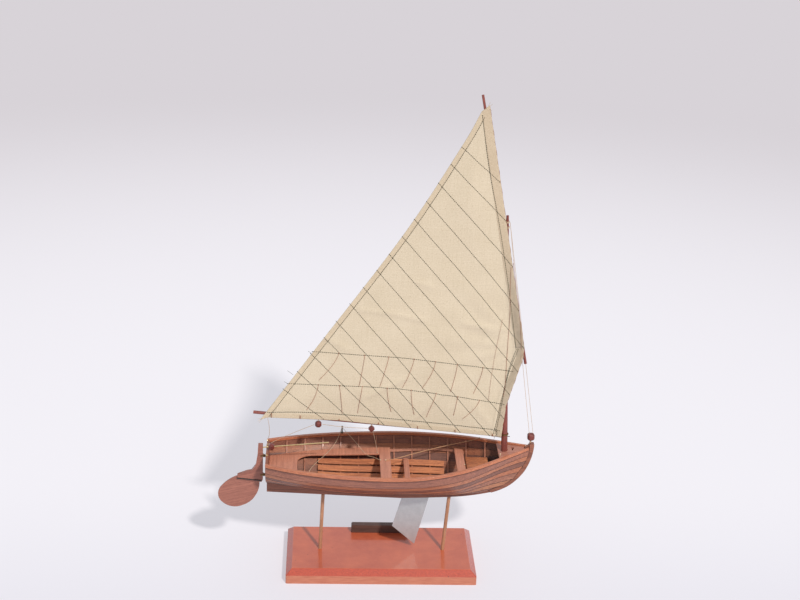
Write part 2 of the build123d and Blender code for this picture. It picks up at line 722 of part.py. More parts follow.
# Mast, yard and boom
foot_x = mast_at(MAST_FOOT_Z)[0]
foot = (foot_x, 0, MAST_FOOT_Z)
taper_x, taper_diameter = mast_at(MAST_TAPER_FROM)
taper_start = (taper_x, 0, MAST_TAPER_FROM)
pin_start, pin_end = [(x, 0, MAST_PIN_HEIGHT) for x in MAST_PIN_ENDS]
mast = rod(foot, taper_start, taper_diameter) - rod(pin_start, pin_end, MAST_PIN_DIAMETER + 2 * FIT)
parts["mast"] = mast + spar([(taper_start, taper_diameter), (MAST_TOP, MAST_TOP_DIAMETER)])
parts["mast_pin"] = rod(pin_start, pin_end, MAST_PIN_DIAMETER)


def beside_sail(point, diameter):
    """Centre of a spar of this diameter on the sail's port side."""
    x, z = point
    return (x, sail_y(z) + SAIL_THICKNESS / 2 + FIT + diameter / 2, z)


yard_middle = mix(YARD_TOP, YARD_HEEL, 0.5)
yard_ends = [beside_sail(p, YARD_MIDDLE_DIAMETER) for p in (YARD_TOP, yard_middle, YARD_HEEL)]
yard_diameters = (YARD_TOP_DIAMETER, YARD_MIDDLE_DIAMETER, YARD_HEEL_DIAMETER)
parts["yard"] = spar(list(zip(yard_ends, yard_diameters)))
boom_aft, boom_fore = [beside_sail(p, BOOM_DIAMETER) for p in (BOOM_AFT, BOOM_FORE)]
parts["boom"] = rod(boom_aft, boom_fore, BOOM_DIAMETER)


def mast_ring(height):
    """Ring that turns round the mast."""
    x, diameter = mast_at(height)
    inner = diameter / 2 + RING_GAP
    ring = Cylinder(inner + RING_WALL, RING_HEIGHT) - Cylinder(inner, RING_HEIGHT)
    return Pos(x, 0, height) * ring


around_yard = rod(yard_ends[0], yard_ends[2], YARD_MIDDLE_DIAMETER + 2 * FIT)
parts["yard_parrel"] = mast_ring(PARREL_HEIGHT) - around_yard
neck_start = along(boom_fore, (1, 0, 0), FIT)
neck_end = along(boom_fore, (1, 0, 0), GOOSENECK_LENGTH)
parts["gooseneck"] = mast_ring(boom_fore[2]) + rod(neck_start, neck_end, GOOSENECK_DIAMETER)


def on_sail(points):
    return [(x, sail_y(z) - SAIL_THICKNESS / 2, z) for x, z in points]


leech = Spline(*on_sail((SAIL[-1],) + LEECH + (SAIL[0],)))
sail_face = closed_face(Polyline(*on_sail(SAIL)), leech)
parts["sail"] = extrude(sail_face, amount=SAIL_THICKNESS, dir=(0, 1, 0))

# Forestay, its bead on the stem head and the sheet blocks
stay_x = mast_at(STAY_TOP)[0] + mast_at(STAY_TOP)[1] / 2 + STAY_DIAMETER
stay_end_z = STEM_BEAD[2] + STEM_BEAD_SIDE / 2 + FIT
stays = []
for side in (-1, 1):
    y = side * STAY_DIAMETER
    stay_end = (STEM_BEAD[0] + side * STAY_SPREAD, y, stay_end_z)
    stays.append(rod((stay_x, y, STAY_TOP), stay_end, STAY_DIAMETER))
parts["forestay"] = Compound(children=stays)
parts["stem_bead"] = Pos(*STEM_BEAD) * carved_bead(STEM_BEAD_SIDE, STEM_BEAD_SIDE, STEM_BEAD_CUT)
seizing_low = (STEM_BEAD[0], 0, STEM_HEAD[1] + FIT)
seizing_top = (STEM_BEAD[0], 0, STEM_BEAD[2] - STEM_BEAD_SIDE / 2 - FIT)
parts["stem_seizing"] = rod(seizing_low, seizing_top, SEIZING_DIAMETER)

# Columns: place along the boom and height, turn, height of the top above the middle, shape
square_top = SQUARE_BLOCK_SIDE / math.sqrt(2) - SQUARE_BLOCK_CUT / math.sqrt(2)
BLOCKS = (
    (ROUND_BLOCK, 0, ROUND_BLOCK_SIDE / 2, carved_bead(ROUND_BLOCK_SIDE, ROUND_BLOCK_SIDE, ROUND_BLOCK_CUT)),
    (SQUARE_BLOCK, 45, square_top, carved_bead(SQUARE_BLOCK_SIDE, SQUARE_BLOCK_SIDE, SQUARE_BLOCK_CUT)),
)
blocks = []
strops = []
for (x, z), turn, top, shape in BLOCKS:
    _, y, boom_z = mix(boom_aft, boom_fore, (x - boom_aft[0]) / (boom_fore[0] - boom_aft[0]))
    strop_top = (x, y, boom_z - BOOM_DIAMETER / 2 - 1.5 * FIT)
    strops.append(rod((x, y, z + top + FIT), strop_top, STROP_DIAMETER))
    blocks.append(Pos(x, y, z) * Rot(0, turn, 0) * shape)
parts["sheet_blocks"] = Compound(children=blocks)
parts["block_strops"] = Compound(children=strops)

# Stanchion on the port rail
standing = (Align.CENTER, Align.CENTER, Align.MIN)
stanchion = Cone(STANCHION_DIAMETER, STANCHION_DIAMETER / 2, STANCHION_FLARE, align=standing)
stanchion += Cylinder(STANCHION_DIAMETER / 2, STANCHION_HEIGHT, align=standing)
parts["stanchion"] = Pos(*STANCHION_AT, STANCHION_FOOT + FIT) * stanchion

os.makedirs("parts", exist_ok=True)
for name, shape in parts.items():
    export_step(shape, f"parts/{name}.step")
print(len(parts), "parts written")
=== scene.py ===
# %% [markdown]
# # A model of a clinker sailing dinghy on its stand
#
# The part is a small wooden display model: a lapped-plank dinghy with a lug sail, held by two
# thin posts over a lacquered board. Its shapes come from the CAD frame. This lesson dresses
# that frame in Blender: wood, lacquer, brass, sewn sailcloth and laid thread.

# %% Load the frame
import bpy
import bmesh
import json
import math
from mathutils import Matrix, Vector, noise


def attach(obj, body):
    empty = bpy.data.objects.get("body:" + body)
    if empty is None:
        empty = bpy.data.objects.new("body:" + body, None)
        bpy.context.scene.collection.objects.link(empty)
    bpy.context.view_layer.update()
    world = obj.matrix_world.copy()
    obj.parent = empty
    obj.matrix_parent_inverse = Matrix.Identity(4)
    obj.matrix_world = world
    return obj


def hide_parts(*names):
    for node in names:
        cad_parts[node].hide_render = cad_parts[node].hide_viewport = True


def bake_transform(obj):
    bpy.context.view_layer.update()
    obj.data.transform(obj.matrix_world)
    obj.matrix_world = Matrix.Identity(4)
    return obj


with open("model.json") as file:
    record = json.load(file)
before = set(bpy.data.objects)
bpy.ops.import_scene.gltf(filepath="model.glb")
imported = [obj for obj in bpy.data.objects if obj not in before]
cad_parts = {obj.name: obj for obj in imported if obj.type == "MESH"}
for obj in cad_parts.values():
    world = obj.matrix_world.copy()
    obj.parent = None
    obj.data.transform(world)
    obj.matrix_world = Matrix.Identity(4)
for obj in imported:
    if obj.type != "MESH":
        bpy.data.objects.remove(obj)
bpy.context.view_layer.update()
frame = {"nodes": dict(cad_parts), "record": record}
MM = 0.001
HULL, RUDDER, RIG = "hull_and_stand", "rudder", "rig"
# Each piece made here, with the CAD node it stands for, if any, and the body it rides on
pieces = {}


def at(x, y, z):
    """Place in millimetres, as in the CAD source, turned to metres."""
    return Vector((x, y, z)) * MM


def new_object(name, data):
    """Object with this data, linked into the scene."""
    thing = bpy.data.objects.new(name, data)
    bpy.context.collection.objects.link(thing)
    return thing


# %% [markdown]
# ## Camera
#
# The photo is a picture from well back with a long lens, looking down by about twenty degrees.
# The camera could be placed by eye. Here it comes from matching the base board's corners, so
# every piece placed from the CAD lands on its own pixels.

# %% Camera
# Turn, tilt and lean in radians, and the place in millimetres
YAW, PITCH, ROLL = 0.05111, 0.36207, 0.03491
CAMERA_PLACE = (-78.385, -1813.114, 1047.168)
LENS_LENGTH, SENSOR_WIDTH = 72, 36
ahead = Vector((math.sin(YAW) * math.cos(PITCH), math.cos(YAW) * math.cos(PITCH), -math.sin(PITCH)))
level = Vector((math.cos(YAW), -math.sin(YAW), 0))
above = level.cross(ahead)
across = math.cos(ROLL) * level + math.sin(ROLL) * above
upward = -math.sin(ROLL) * level + math.cos(ROLL) * above
lens = bpy.data.cameras.new("camera")
lens.lens = LENS_LENGTH
lens.sensor_width = SENSOR_WIDTH
camera = new_object("camera", lens)
axes = Matrix((across, upward, -ahead)).transposed().to_4x4()
camera.matrix_world = Matrix.Translation(at(*CAMERA_PLACE)) @ axes
bpy.context.scene.camera = camera
print("camera looks down by", round(math.degrees(PITCH), 1), "degrees")

# %% [markdown]
# ## Putting nodes together
#
# Materials and Geometry Nodes are both trees of nodes joined by links. Written out link by link
# they are hard to read, so one small class wraps a socket and lets Python's own signs add the
# Math nodes. One function adds any other node.


# %% A socket that Python can reckon with
class Wire:
    """An output socket of a node tree that Python's signs can reckon with."""

    def __init__(self, tree, socket):
        self.tree = tree
        self.socket = socket

    def math(self, operation, *others):
        """Math node with this socket first."""
        return put(self.tree, "ShaderNodeMath", {"operation": operation}, dict(enumerate((self, *others))))

    def after(self, operation, first):
        """Math node with this socket second, for the reflected signs."""
        return put(self.tree, "ShaderNodeMath", {"operation": operation}, {0: first, 1: self})

    def side(self, name):
        """Another output of the same node."""
        return Wire(self.tree, self.socket.node.outputs[name])

    def __add__(self, other):
        return self.math("ADD", other)

    def __radd__(self, other):
        return self.after("ADD", other)

    def __sub__(self, other):
        return self.math("SUBTRACT", other)

    def __rsub__(self, other):
        return self.after("SUBTRACT", other)

    def __mul__(self, other):
        return self.math("MULTIPLY", other)

    def __rmul__(self, other):
        return self.after("MULTIPLY", other)

    def __truediv__(self, other):
        return self.math("DIVIDE", other)

    def __rtruediv__(self, other):
        return self.after("DIVIDE", other)

    def __gt__(self, other):
        return self.math("GREATER_THAN", other)

    def __lt__(self, other):
        return self.math("LESS_THAN", other)


print("Python's signs now add Math nodes")


# %% Any other node
def put(tree, kind, settings=None, sockets=None, out=0):
    """Add a node, first its settings, then the values or links of its sockets."""
    node = tree.nodes.new(kind)
    for name, value in (settings or {}).items():
        if name == "stops":
            set_stops(node.color_ramp.elements, value)
        else:
            setattr(node, name, value)
    for key, value in (sockets or {}).items():
        if isinstance(value, Wire):
            tree.links.new(value.socket, node.inputs[key])
        else:
            node.inputs[key].default_value = value
    return Wire(tree, node.outputs[out]) if node.outputs else node


def set_stops(stops, wanted):
    """Set the places and colours of a ramp, which starts with two stops."""
    for index, (place, colour) in enumerate(wanted):
        stop = stops[index] if index < 2 else stops.new(place)
        stop.position = place
        stop.color = colour


def paint(red, green, blue):
    """Linear colour from the 0 to 255 values that a picture shows."""
    shares = [value / 255 for value in (red, green, blue)]
    linear = [s / 12.92 if s <= 0.04045 else ((s + 0.055) / 1.055) ** 2.4 for s in shares]
    return (*linear, 1.0)


def deeper(colour, share):
    """The same colour with only a share of its light."""
    return tuple(value * share for value in colour[:3]) + (1.0,)


print("mid grey is", round(paint(128, 128, 128)[0], 3), "in linear light")


# %% A material in the making
class Finish:
    """One Principled shader and what feeds it; underscores stand for blanks in socket names."""

    def __init__(self, name, **fixed):
        self.material = bpy.data.materials.new(f"{name}_finish")
        self.material.use_nodes = True
        self.tree = self.material.node_tree
        self.tree.nodes.clear()
        self.shader = self.tree.nodes.new("ShaderNodeBsdfPrincipled")
        self.output = self.tree.nodes.new("ShaderNodeOutputMaterial")
        self.tree.links.new(self.shader.outputs[0], self.output.inputs["Surface"])
        self.place = put(self.tree, "ShaderNodeTexCoord").side("Object")
        for socket, value in fixed.items():
            self.feed(socket.replace("_", " "), value)

    def put(self, kind, settings=None, sockets=None, out=0):
        """Any shader node."""
        return put(self.tree, "ShaderNode" + kind, settings, sockets, out)

    def feed(self, socket, value):
        """Set a socket of the shader, or link it."""
        if isinstance(value, Wire):
            self.tree.links.new(value.socket, self.shader.inputs[socket])
        else:
            self.shader.inputs[socket].default_value = value

    def fed(self, socket):
        """What feeds a socket of the shader now."""
        return Wire(self.tree, self.shader.inputs[socket].links[0].from_socket)

    def axis(self, name, vector=None):
        """X, Y or Z of a vector, or of the place on the piece."""
        return self.put("SeparateXYZ", None, {0: vector or self.place}, out="XYZ".index(name))

    def stretched(self, scale, turn=(0, 0, 0), start=None, move=(0, 0, 0)):
        """Place turned, moved and scaled for a pattern."""
        sockets = {"Vector": start or self.place, "Scale": scale, "Rotation": turn, "Location": move}
        return self.put("Mapping", None, sockets)

    def cloud(self, place, scale=1.0, detail=3.0, rough=0.5, twist=0.0):
        """Soft noise."""
        sockets = {"Vector": place, "Scale": scale, "Detail": detail, "Roughness": rough}
        sockets["Distortion"] = twist
        return self.put("TexNoise", {"noise_dimensions": "3D"}, sockets)

    def specks(self, place, scale, rare, size):
        """Small round spots, in the share of cells above rare."""
        cells = self.put("TexVoronoi", {"feature": "F1"}, {"Vector": place, "Scale": scale})
        chosen = self.put("SeparateColor", None, {0: cells.side("Color")}) > rare
        return chosen * (cells.side("Distance") < size)

    def ramp(self, value, *stops):
        """Colour from a value by a few stops."""
        return self.put("ValToRGB", {"stops": stops}, {0: value})

    def spread(self, value, low, high, to_low=0.0, to_high=1.0):
        """Smooth step of a value from one range to another."""
        sockets = {"Value": value, "From Min": low, "From Max": high, "To Min": to_low, "To Max": to_high}
        return self.put("MapRange", {"clamp": True, "interpolation_type": "SMOOTHSTEP"}, sockets)

    def blend(self, share, first, second, way="MIX"):
        """Two colours mixed by a share of the second."""
        settings = {"data_type": "RGBA", "blend_type": way}
        return self.put("Mix", settings, {0: share, 6: first, 7: second}, out=2)

    def relief(self, height, depth, strength=1.0):
        """Fine relief that is too small for geometry; depth is in metres."""
        sockets = {"Height": height, "Distance": depth, "Strength": strength}
        self.feed("Normal", self.put("Bump", None, sockets))


print("materials can be put together")

# %% [markdown]
# ## Wood
#
# Every wooden piece shows fine dark pores and broader bands, both drawn out along the grain.
# A photo texture would need unwrapping. A noise squeezed across the grain gives the same look
# at the true scale from any side, so one function makes all the woods of the model.

# %% How a wood is made
# Scales of the noise along and across the grain, per metre
BANDS_ALONG, STREAKS, PORES = 14, (70, 1500, 1500), (190, 3400, 3400)
# Steps in metres from one board's pattern to the next, so that no two boards are alike
BOARD_STEPS = (0.37, 0.61, 0.13)
FINE_RELIEF = 0.00006


def wood(name, pale, dark, along=(1, 0, 0), gloss=0.42, band=3.0, pores=0.6, shift=0, coat=0.25):
    """Wood whose grain runs along a direction; band is the width of its bands in mm."""
    finish = Finish(name, Coat_Roughness=0.25, Specular_IOR_Level=0.4)
    pale, dark = paint(*pale), paint(*dark)
    turn = Vector(along).normalized().to_track_quat("X", "Z").inverted().to_euler()
    turned = finish.stretched((1, 1, 1), turn=turn, move=[shift * step for step in BOARD_STEPS])
    # Broad bands wander a little from side to side, as sawn boards show them
    bands = finish.stretched((BANDS_ALONG, 1000 / band, 1000 / band), start=turned)
    broad = finish.cloud(bands, 1.0, 4.0, 0.62, 0.5)
    streak = finish.cloud(finish.stretched(STREAKS, start=turned), 1.0, 3.0, 0.7)
    pore = finish.cloud(finish.stretched(PORES, start=turned, move=(3, 7, 1)), 1.0, 2.0, 0.5)
    patch = finish.cloud(turned, 28.0, 2.0)
    colour = finish.ramp(broad * 0.62 + streak * 0.38, (0.34, dark), (0.64, pale))
    colour = finish.blend(finish.spread(patch, 0.35, 0.7, 0.0, 0.3), colour, dark)
    pitted = finish.spread(pore, 0.60, 0.68, 0.0, pores)
    finish.feed("Base Color", finish.blend(pitted, colour, deeper(dark, 0.42)))
    finish.feed("Roughness", gloss + streak * 0.16 + pitted * 0.15)
    finish.feed("Coat Weight", coat - pitted * coat * 0.6)
    finish.relief(streak * 0.5 - pitted * 0.6, FINE_RELIEF, 0.7)
    return finish


# %% Wood finishes
WOODS = {
    "keel_wood": dict(pale=(170, 106, 80), dark=(110, 66, 54), band=2.2, shift=1),
    "transom_wood": dict(pale=(178, 112, 86), dark=(118, 70, 56), along=(0, 1, 0), shift=2),
    "rail_wood": dict(pale=(220, 140, 100), dark=(166, 95, 68), gloss=0.36, band=1.8, shift=3, coat=0.5),
    "rib_wood": dict(pale=(200, 134, 106), dark=(144, 90, 72), along=(0, 0.5, 1), band=1.5, shift=4),
    "bench_wood": dict(
        pale=(221, 150, 120), dark=(178, 112, 89), along=(0, 1, 0), band=2.2, pores=0.4, shift=5
    ),
    "deck_wood": dict(pale=(212, 146, 122), dark=(160, 102, 86), band=2.2, pores=0.4, shift=12),
    "floor_wood": dict(pale=(230, 148, 98), dark=(152, 88, 62), band=1.6, shift=6),
    "rudder_wood": dict(pale=(178, 116, 98), dark=(142, 88, 75), along=(1, 0, 0.25), band=2.0, shift=7),
    "spar_wood": dict(pale=(160, 86, 74), dark=(108, 52, 46), along=(0, 0, 1), band=1.6, shift=8),
    "bead_wood": dict(pale=(142, 68, 58), dark=(88, 38, 36), along=(0, 0, 1), gloss=0.3, shift=9),
    "dark_wood": dict(pale=(104, 74, 64), dark=(64, 44, 38), band=1.4, gloss=0.5, shift=10),
    "post_wood": dict(pale=(204, 154, 120), dark=(156, 104, 76), along=(0, 0, 1), band=1.2, shift=11),
    # Dark varnish for the lap lines, which also stand for the painted shadow under each lap
    "varnish_and_shade": dict(pale=(80, 48, 38), dark=(48, 28, 22), gloss=0.5),
    # Black for the painted shadow line under the rudder's cheek
    "shadow_black": dict(pale=(48, 38, 36), dark=(28, 22, 22), gloss=0.5),
}
finishes = {name: wood(name, **look).material for name, look in WOODS.items()}
print(len(finishes), "woods and varnishes")

# %% [markdown]
# ## Planks that differ
#
# On the real model each strake is a strip cut from another part of the board: some are orange,
# some brown with a purple tinge. Each strake gets its own pair of colours and its own shift of
# the grain, so that neighbours stand apart along the laps. Inside the boat the same planks get
# painted shade, deepest under the foredeck; only their outer faces were sanded and varnished.

# %% Plank finishes
PLANKS = (
    ((186, 124, 100), (128, 80, 66)),
    ((206, 142, 106), (146, 92, 70)),
    ((186, 126, 102), (126, 82, 68)),
    ((208, 134, 98), (144, 86, 66)),
    ((158, 106, 88), (108, 68, 58)),
    ((214, 138, 100), (148, 90, 68)),
    ((188, 122, 96), (124, 78, 66)),
)
FIRST_PLANK_SHIFT = 20
# Painted shade inside the hull, and a deeper painted shade under the foredeck
INSIDE_SHADE = (0.76, 0.76, 0.76, 1.0)
UNDER_DECK_SHADE = (0.40, 0.44, 0.50, 1.0)
DECK_EDGE = (0.124, 0.130)


def shaded_inside(finish, sheen):
    """Paint shade on the faces that look into the hull, deepest under the foredeck; varnish only those that
    look out of it.
    """
    facing = finish.put("NewGeometry").side("Normal")
    side = finish.axis("Y").math("SIGN")
    inward = (finish.axis("Z", facing) - finish.axis("Y", facing) * side) > 0
    painted_shade = finish.blend(finish.spread(finish.axis("X"), *DECK_EDGE), INSIDE_SHADE, UNDER_DECK_SHADE)
    colour = finish.fed("Base Color")
    shade = finish.blend(1.0, colour, painted_shade, "MULTIPLY")
    finish.feed("Base Color", finish.blend(inward, colour, shade))
    finish.feed("Coat Weight", sheen - inward * sheen * 0.9)


for number, (pale, dark) in enumerate(PLANKS, 1):
    plank = wood(f"plank_{number}", pale, dark, gloss=0.46, band=1.7, shift=FIRST_PLANK_SHIFT + number)
    shaded_inside(plank, 0.4)
    finishes[f"strake_{number}"] = plank.material
print(len(PLANKS), "planks a side")

# %% [markdown]
# ## Lacquered base
#
# The stand is a moulded board under red-brown lacquer: the lacquer is thickest and reddest on
# the routed slope, thinner on the top, and palest on the cut edge, where the board drinks it.
# Height above the floor tells the three apart, so the colour needs no unwrapping.

# %% Base lacquer
# Heights in metres over which the slope turns into the top, and the cut edge into the slope
TOP_HEIGHTS, EDGE_HEIGHTS = (0.0174, 0.0179), (0.0106, 0.0116)


def lacquer():
    """Lacquer that differs on the edge, the slope and the top of the base."""
    finish = Finish("base_lacquer", Coat_Roughness=0.09, Specular_IOR_Level=0.5)
    top = finish.spread(finish.axis("Z"), *TOP_HEIGHTS)
    edge = 1 - finish.spread(finish.axis("Z"), *EDGE_HEIGHTS)
    cloudy = finish.cloud(finish.place, 38.0, 4.0, 0.6)
    speck = finish.cloud(finish.place, 1500.0, 3.0, 0.7)
    grain = finish.cloud(finish.stretched((60, 900, 900)), 1.0, 3.0, 0.6)
    slope_colour = finish.ramp(speck, (0.36, paint(142, 40, 26)), (0.62, paint(212, 88, 56)))
    top_colour = finish.ramp(cloudy, (0.30, paint(188, 80, 48)), (0.72, paint(211, 104, 66)))
    top_colour = finish.blend(finish.spread(speck, 0.4, 0.7, 0.0, 0.3), top_colour, paint(226, 134, 96))
    edge_colour = finish.ramp(grain, (0.32, paint(182, 102, 76)), (0.70, paint(205, 130, 101)))
    colour = finish.blend(edge, finish.blend(top, slope_colour, top_colour), edge_colour)
    # A few dark grains of dust lie under the lacquer
    dust = finish.specks(finish.place, 130.0, rare=0.93, size=0.085)
    finish.feed("Base Color", finish.blend(dust * 0.8, colour, paint(70, 34, 28)))
    finish.feed("Roughness", 0.34 + edge * 0.12 + cloudy * 0.1)
    finish.feed("Coat Weight", 0.9 - edge * 0.5)
    # The routed slope was left rough under the lacquer
    rough = finish.cloud(finish.place, 700.0, 2.0, 0.6) * (1 - top) * 5.0
    finish.relief(speck * 0.6 + cloudy * 0.4 + rough, FINE_RELIEF, 0.7)
    return finish.material


finishes["base_lacquer"] = lacquer()
print("lacquer from the floor up: edge, slope, top")

# %% [markdown]
# ## Metals
#
# The centreboard is a sheet of pale brushed metal, the tiller a bright brass rod, and the small
# fittings are darkened brass. The brushing is a noise drawn out in one direction that touches
# the roughness and the relief, and the colour a little.


# %% Metal finishes
def metal(name, pale, dark, rough, brushing=(600, 600, 600), metallic=0.9):
    """Metal with a little tarnish; brushing holds the scales of its marks, per metre."""
    finish = Finish(name, Metallic=metallic)
    brushed = finish.cloud(finish.stretched(brushing), 1.0, 3.0, 0.6)
    tarnish = finish.cloud(finish.place, 160.0, 4.0, 0.6)
    colour = finish.ramp(tarnish * 0.6 + brushed * 0.4, (0.3, paint(*dark)), (0.7, paint(*pale)))
    finish.feed("Base Color", colour)
    finish.feed("Roughness", rough + (brushed - 0.5) * 0.2)
    finish.relief(brushed, 0.00002, 0.4)
    return finish.material


METALS = {
    "board_metal": dict(
        pale=(202, 206, 207), dark=(182, 186, 188), rough=0.46, brushing=(40, 40, 2600), metallic=0.75
    ),
    "brass": dict(
        pale=(236, 216, 166), dark=(200, 176, 124), rough=0.30, brushing=(60, 2500, 2500), metallic=1.0
    ),
    "old_brass": dict(pale=(150, 122, 76), dark=(92, 70, 46), rough=0.4),
    "dark_metal": dict(pale=(110, 100, 86), dark=(64, 60, 54), rough=0.4),
}
for name, look in METALS.items():
    finishes[name] = metal(name, **look)
print(len(METALS), "metals")

# %% [markdown]
# ## Cloth and thread
#
# The sail is unbleached cotton with uneven threads and small brown flecks of husk. Its weave is
# too fine to see at arm's length, so it could be left to one flat colour. What does show is that
# some threads are thicker than others, both ways. Two noises drawn out along the sail's own UV
# map, which is laid out in metres, give them and follow the cloth.

# %% Cloth finishes
CLOTH_RELIEF = 0.00010
# The gaps between the threads darken the cloth by this share
GAPS = 0.0176


def cotton(name, pale, dark, throat_shade=0.0):
    """Cotton that is greyed by a share of painted shade round the throat."""
    finish = Finish(name, Roughness=0.85, Sheen_Weight=0.25, Sheen_Roughness=0.5, Specular_IOR_Level=0.2)
    pale, dark = paint(*pale), paint(*dark)
    laid = finish.put("UVMap", {"uv_map": "cut"})
    thick = finish.cloud(finish.stretched((30, 900, 1), start=laid), 1.0, 2.0)
    thick = thick * 0.5 + finish.cloud(finish.stretched((900, 30, 1), start=laid), 1.0, 2.0) * 0.5
    patch = finish.cloud(laid, 24.0, 3.0)
    slub = finish.cloud(laid, 620.0, 3.0, 0.75)
    cloth = finish.ramp(patch * 0.15 + thick * 0.3 + slub * 0.55, (0.34, dark), (0.62, pale))
    cloth = finish.blend(GAPS, cloth, deeper(dark, 0.55))
    husk = finish.specks(laid, 420.0, rare=0.90, size=0.16)
    cloth = finish.blend(husk * 0.55, cloth, paint(150, 118, 84))
    if throat_shade:
        # Painted grey shade round the throat, where the hem folds along yard and mast, in soft patches
        shade_patches = finish.cloud(finish.place, 60.0, 3.0, 0.6)
        high = finish.spread(finish.axis("Z"), 0.31, 0.46, 1.0, 0.0)
        low = finish.spread(finish.axis("Z"), 0.18, 0.30, 0.35, 1.0)
        share = high * low * finish.spread(shade_patches, 0.25, 0.6, 0.45, 1.0) * throat_shade
        cloth = finish.blend(share, cloth, paint(154, 142, 124))
    finish.feed("Base Color", cloth)
    finish.relief(thick * 1.2 + slub * 1.4, CLOTH_RELIEF, 0.9)
    return finish.material


CLOTHS = {
    "sailcloth": dict(pale=(229, 213, 188), dark=(205, 188, 160)),
    "hemcloth": dict(pale=(224, 206, 179), dark=(198, 178, 149)),
    # The head and luff hems get a darker copy of the hem cloth, with painted shade for their fold along the
    # yard and the mast
    "shaded_hemcloth": dict(pale=(219, 200, 173), dark=(192, 171, 143), throat_shade=0.66),
}
for name, look in CLOTHS.items():
    finishes[name] = cotton(name, **look)
print(len(CLOTHS), "cloths")


# %% Thread finishes
def thread(name, pale, dark):
    """Fuzzy thread, worn darker in places."""
    finish = Finish(name, Roughness=0.8, Sheen_Weight=0.3, Specular_IOR_Level=0.25)
    fuzz = finish.cloud(finish.place, 2600.0, 3.0, 0.7)
    worn = finish.cloud(finish.place, 90.0, 3.0)
    colour = finish.ramp(fuzz * 0.6 + worn * 0.4, (0.35, paint(*dark)), (0.65, paint(*pale)))
    finish.feed("Base Color", colour)
    finish.relief(fuzz, FINE_RELIEF, 0.6)
    return finish.material


THREADS = {
    "linen_thread": ((228, 202, 172), (186, 154, 124)),
    "seam_thread": ((74, 72, 46), (40, 40, 25)),
    "brown_thread": ((186, 120, 90), (134, 80, 60)),
    "tan_rope": ((222, 174, 134), (172, 122, 88)),
}
for name, (pale, dark) in THREADS.items():
    finishes[name] = thread(name, pale, dark)
print(len(THREADS), "threads, and", len(finishes), "finishes in all")

# %% [markdown]
# ## Easing the edges of the wooden pieces
#
# The CAD solids have knife-sharp arrises. Sandpaper rounds real ones by a fraction of a
# millimetre, and that thin line of light is what makes wood look real. Each CAD node is loose
# triangles, so a copy of it is merged first and then given a small bevel. The copy stands for
# the node, which stays in the frame for collision.

# %% How a CAD piece is eased
MERGE_DISTANCE = 2e-6
FLAT_TURN, SHARP_TURN = math.radians(0.6), math.radians(35)


def body_of(node):
    """Body that a CAD node belongs to."""
    bodies = frame["record"]["behaviour"]["bodies"]
    return next(name for name, nodes in bodies.items() if node in nodes)


def dress(piece, finish):
    """Give a piece this one finish."""
    piece.data.materials.clear()
    piece.data.materials.append(finishes[finish])


def eased(node, width, finish, steps=2):
    """Merged copy that stands for a CAD piece, its arrises eased by width millimetres."""
    mesh = frame["nodes"][node].data.copy()
    work = bmesh.new()
    work.from_mesh(mesh)
    bmesh.ops.remove_doubles(work, verts=work.verts, dist=MERGE_DISTANCE)
    bmesh.ops.dissolve_limit(work, angle_limit=FLAT_TURN, verts=work.verts, edges=work.edges)
    for face in work.faces:
        face.smooth = True
    work.to_mesh(mesh)
    work.free()
    mesh.set_sharp_from_angle(angle=SHARP_TURN)
    piece = new_object(f"{node}_eased", mesh)
    bevel = piece.modifiers.new("eased", "BEVEL")
    bevel.width = width * MM
    bevel.segments = steps
    bevel.limit_method = "ANGLE"
    bevel.angle_limit = SHARP_TURN
    bevel.harden_normals = True
    bevel.use_clamp_overlap = True
    dress(piece, finish)
    pieces[piece] = (node, body_of(node))


# %% Ease and dress the CAD pieces
EASED = {
    "base_board": (1.5, "base_lacquer"), "name_block": (0.4, "dark_wood"),
    "keel": (0.25, "keel_wood"), "stem": (0.35, "keel_wood"), "transom": (0.25, "transom_wood"),
    "rails": (0.5, "rail_wood"), "stern_bench": (0.35, "bench_wood"),
    "centre_thwart": (0.4, "bench_wood"), "fore_thwart": (0.4, "bench_wood"),
    "stretcher": (0.35, "bench_wood"), "bottom_boards": (0.2, "floor_wood"),
    "fore_sole": (0.2, "floor_wood"), "mast_step": (0.3, "floor_wood"),
    "foredeck": (0.3, "deck_wood"), "rudder_stock": (0.45, "rudder_wood"),
    "rudder_blade": (0.3, "rudder_wood"), "centreboard": (0.12, "board_metal"),
    "ribs": (0.15, "rib_wood"), "risers": (0.15, "rib_wood"),
}
STRAKES = [f"strake_{number}" for number in range(1, len(PLANKS) + 1)]
STRAKE_EASE = 0.22
for strake in STRAKES:
    EASED[strake] = (STRAKE_EASE, strake)
for node, (width, finish) in EASED.items():
    eased(node, width, finish)
print(len(EASED), "pieces eased")

# %% Dress the pieces that keep their CAD shape
KEPT = {
    "post_aft": "post_wood", "post_fore": "post_wood", "mast": "spar_wood", "yard": "spar_wood",
    "boom": "spar_wood", "tiller": "brass", "pintles": "old_brass", "gudgeons": "old_brass",
    "yard_parrel": "brown_thread", "gooseneck": "old_brass", "mast_pin": "dark_metal",
    "block_strops": "linen_thread", "stem_seizing": "linen_thread",
}
for node, finish in KEPT.items():
    dress(frame["nodes"][node], finish)
print(len(KEPT), "CAD pieces kept")

# %% [markdown]
# ## Cutting the sail
#
# The sail is one flat piece of cotton with a nearly straight head and foot and a slightly
# hollow leech. It could be a plain plane with a bumpy material, but a real one bellies a little
# and pulls into soft creases at its corners. Here a grid of points is spread between its four
# edges, and one rule says how far each place stands off the flat. Everything sewn on the sail
# asks the same rule, so it all lies on the cloth.

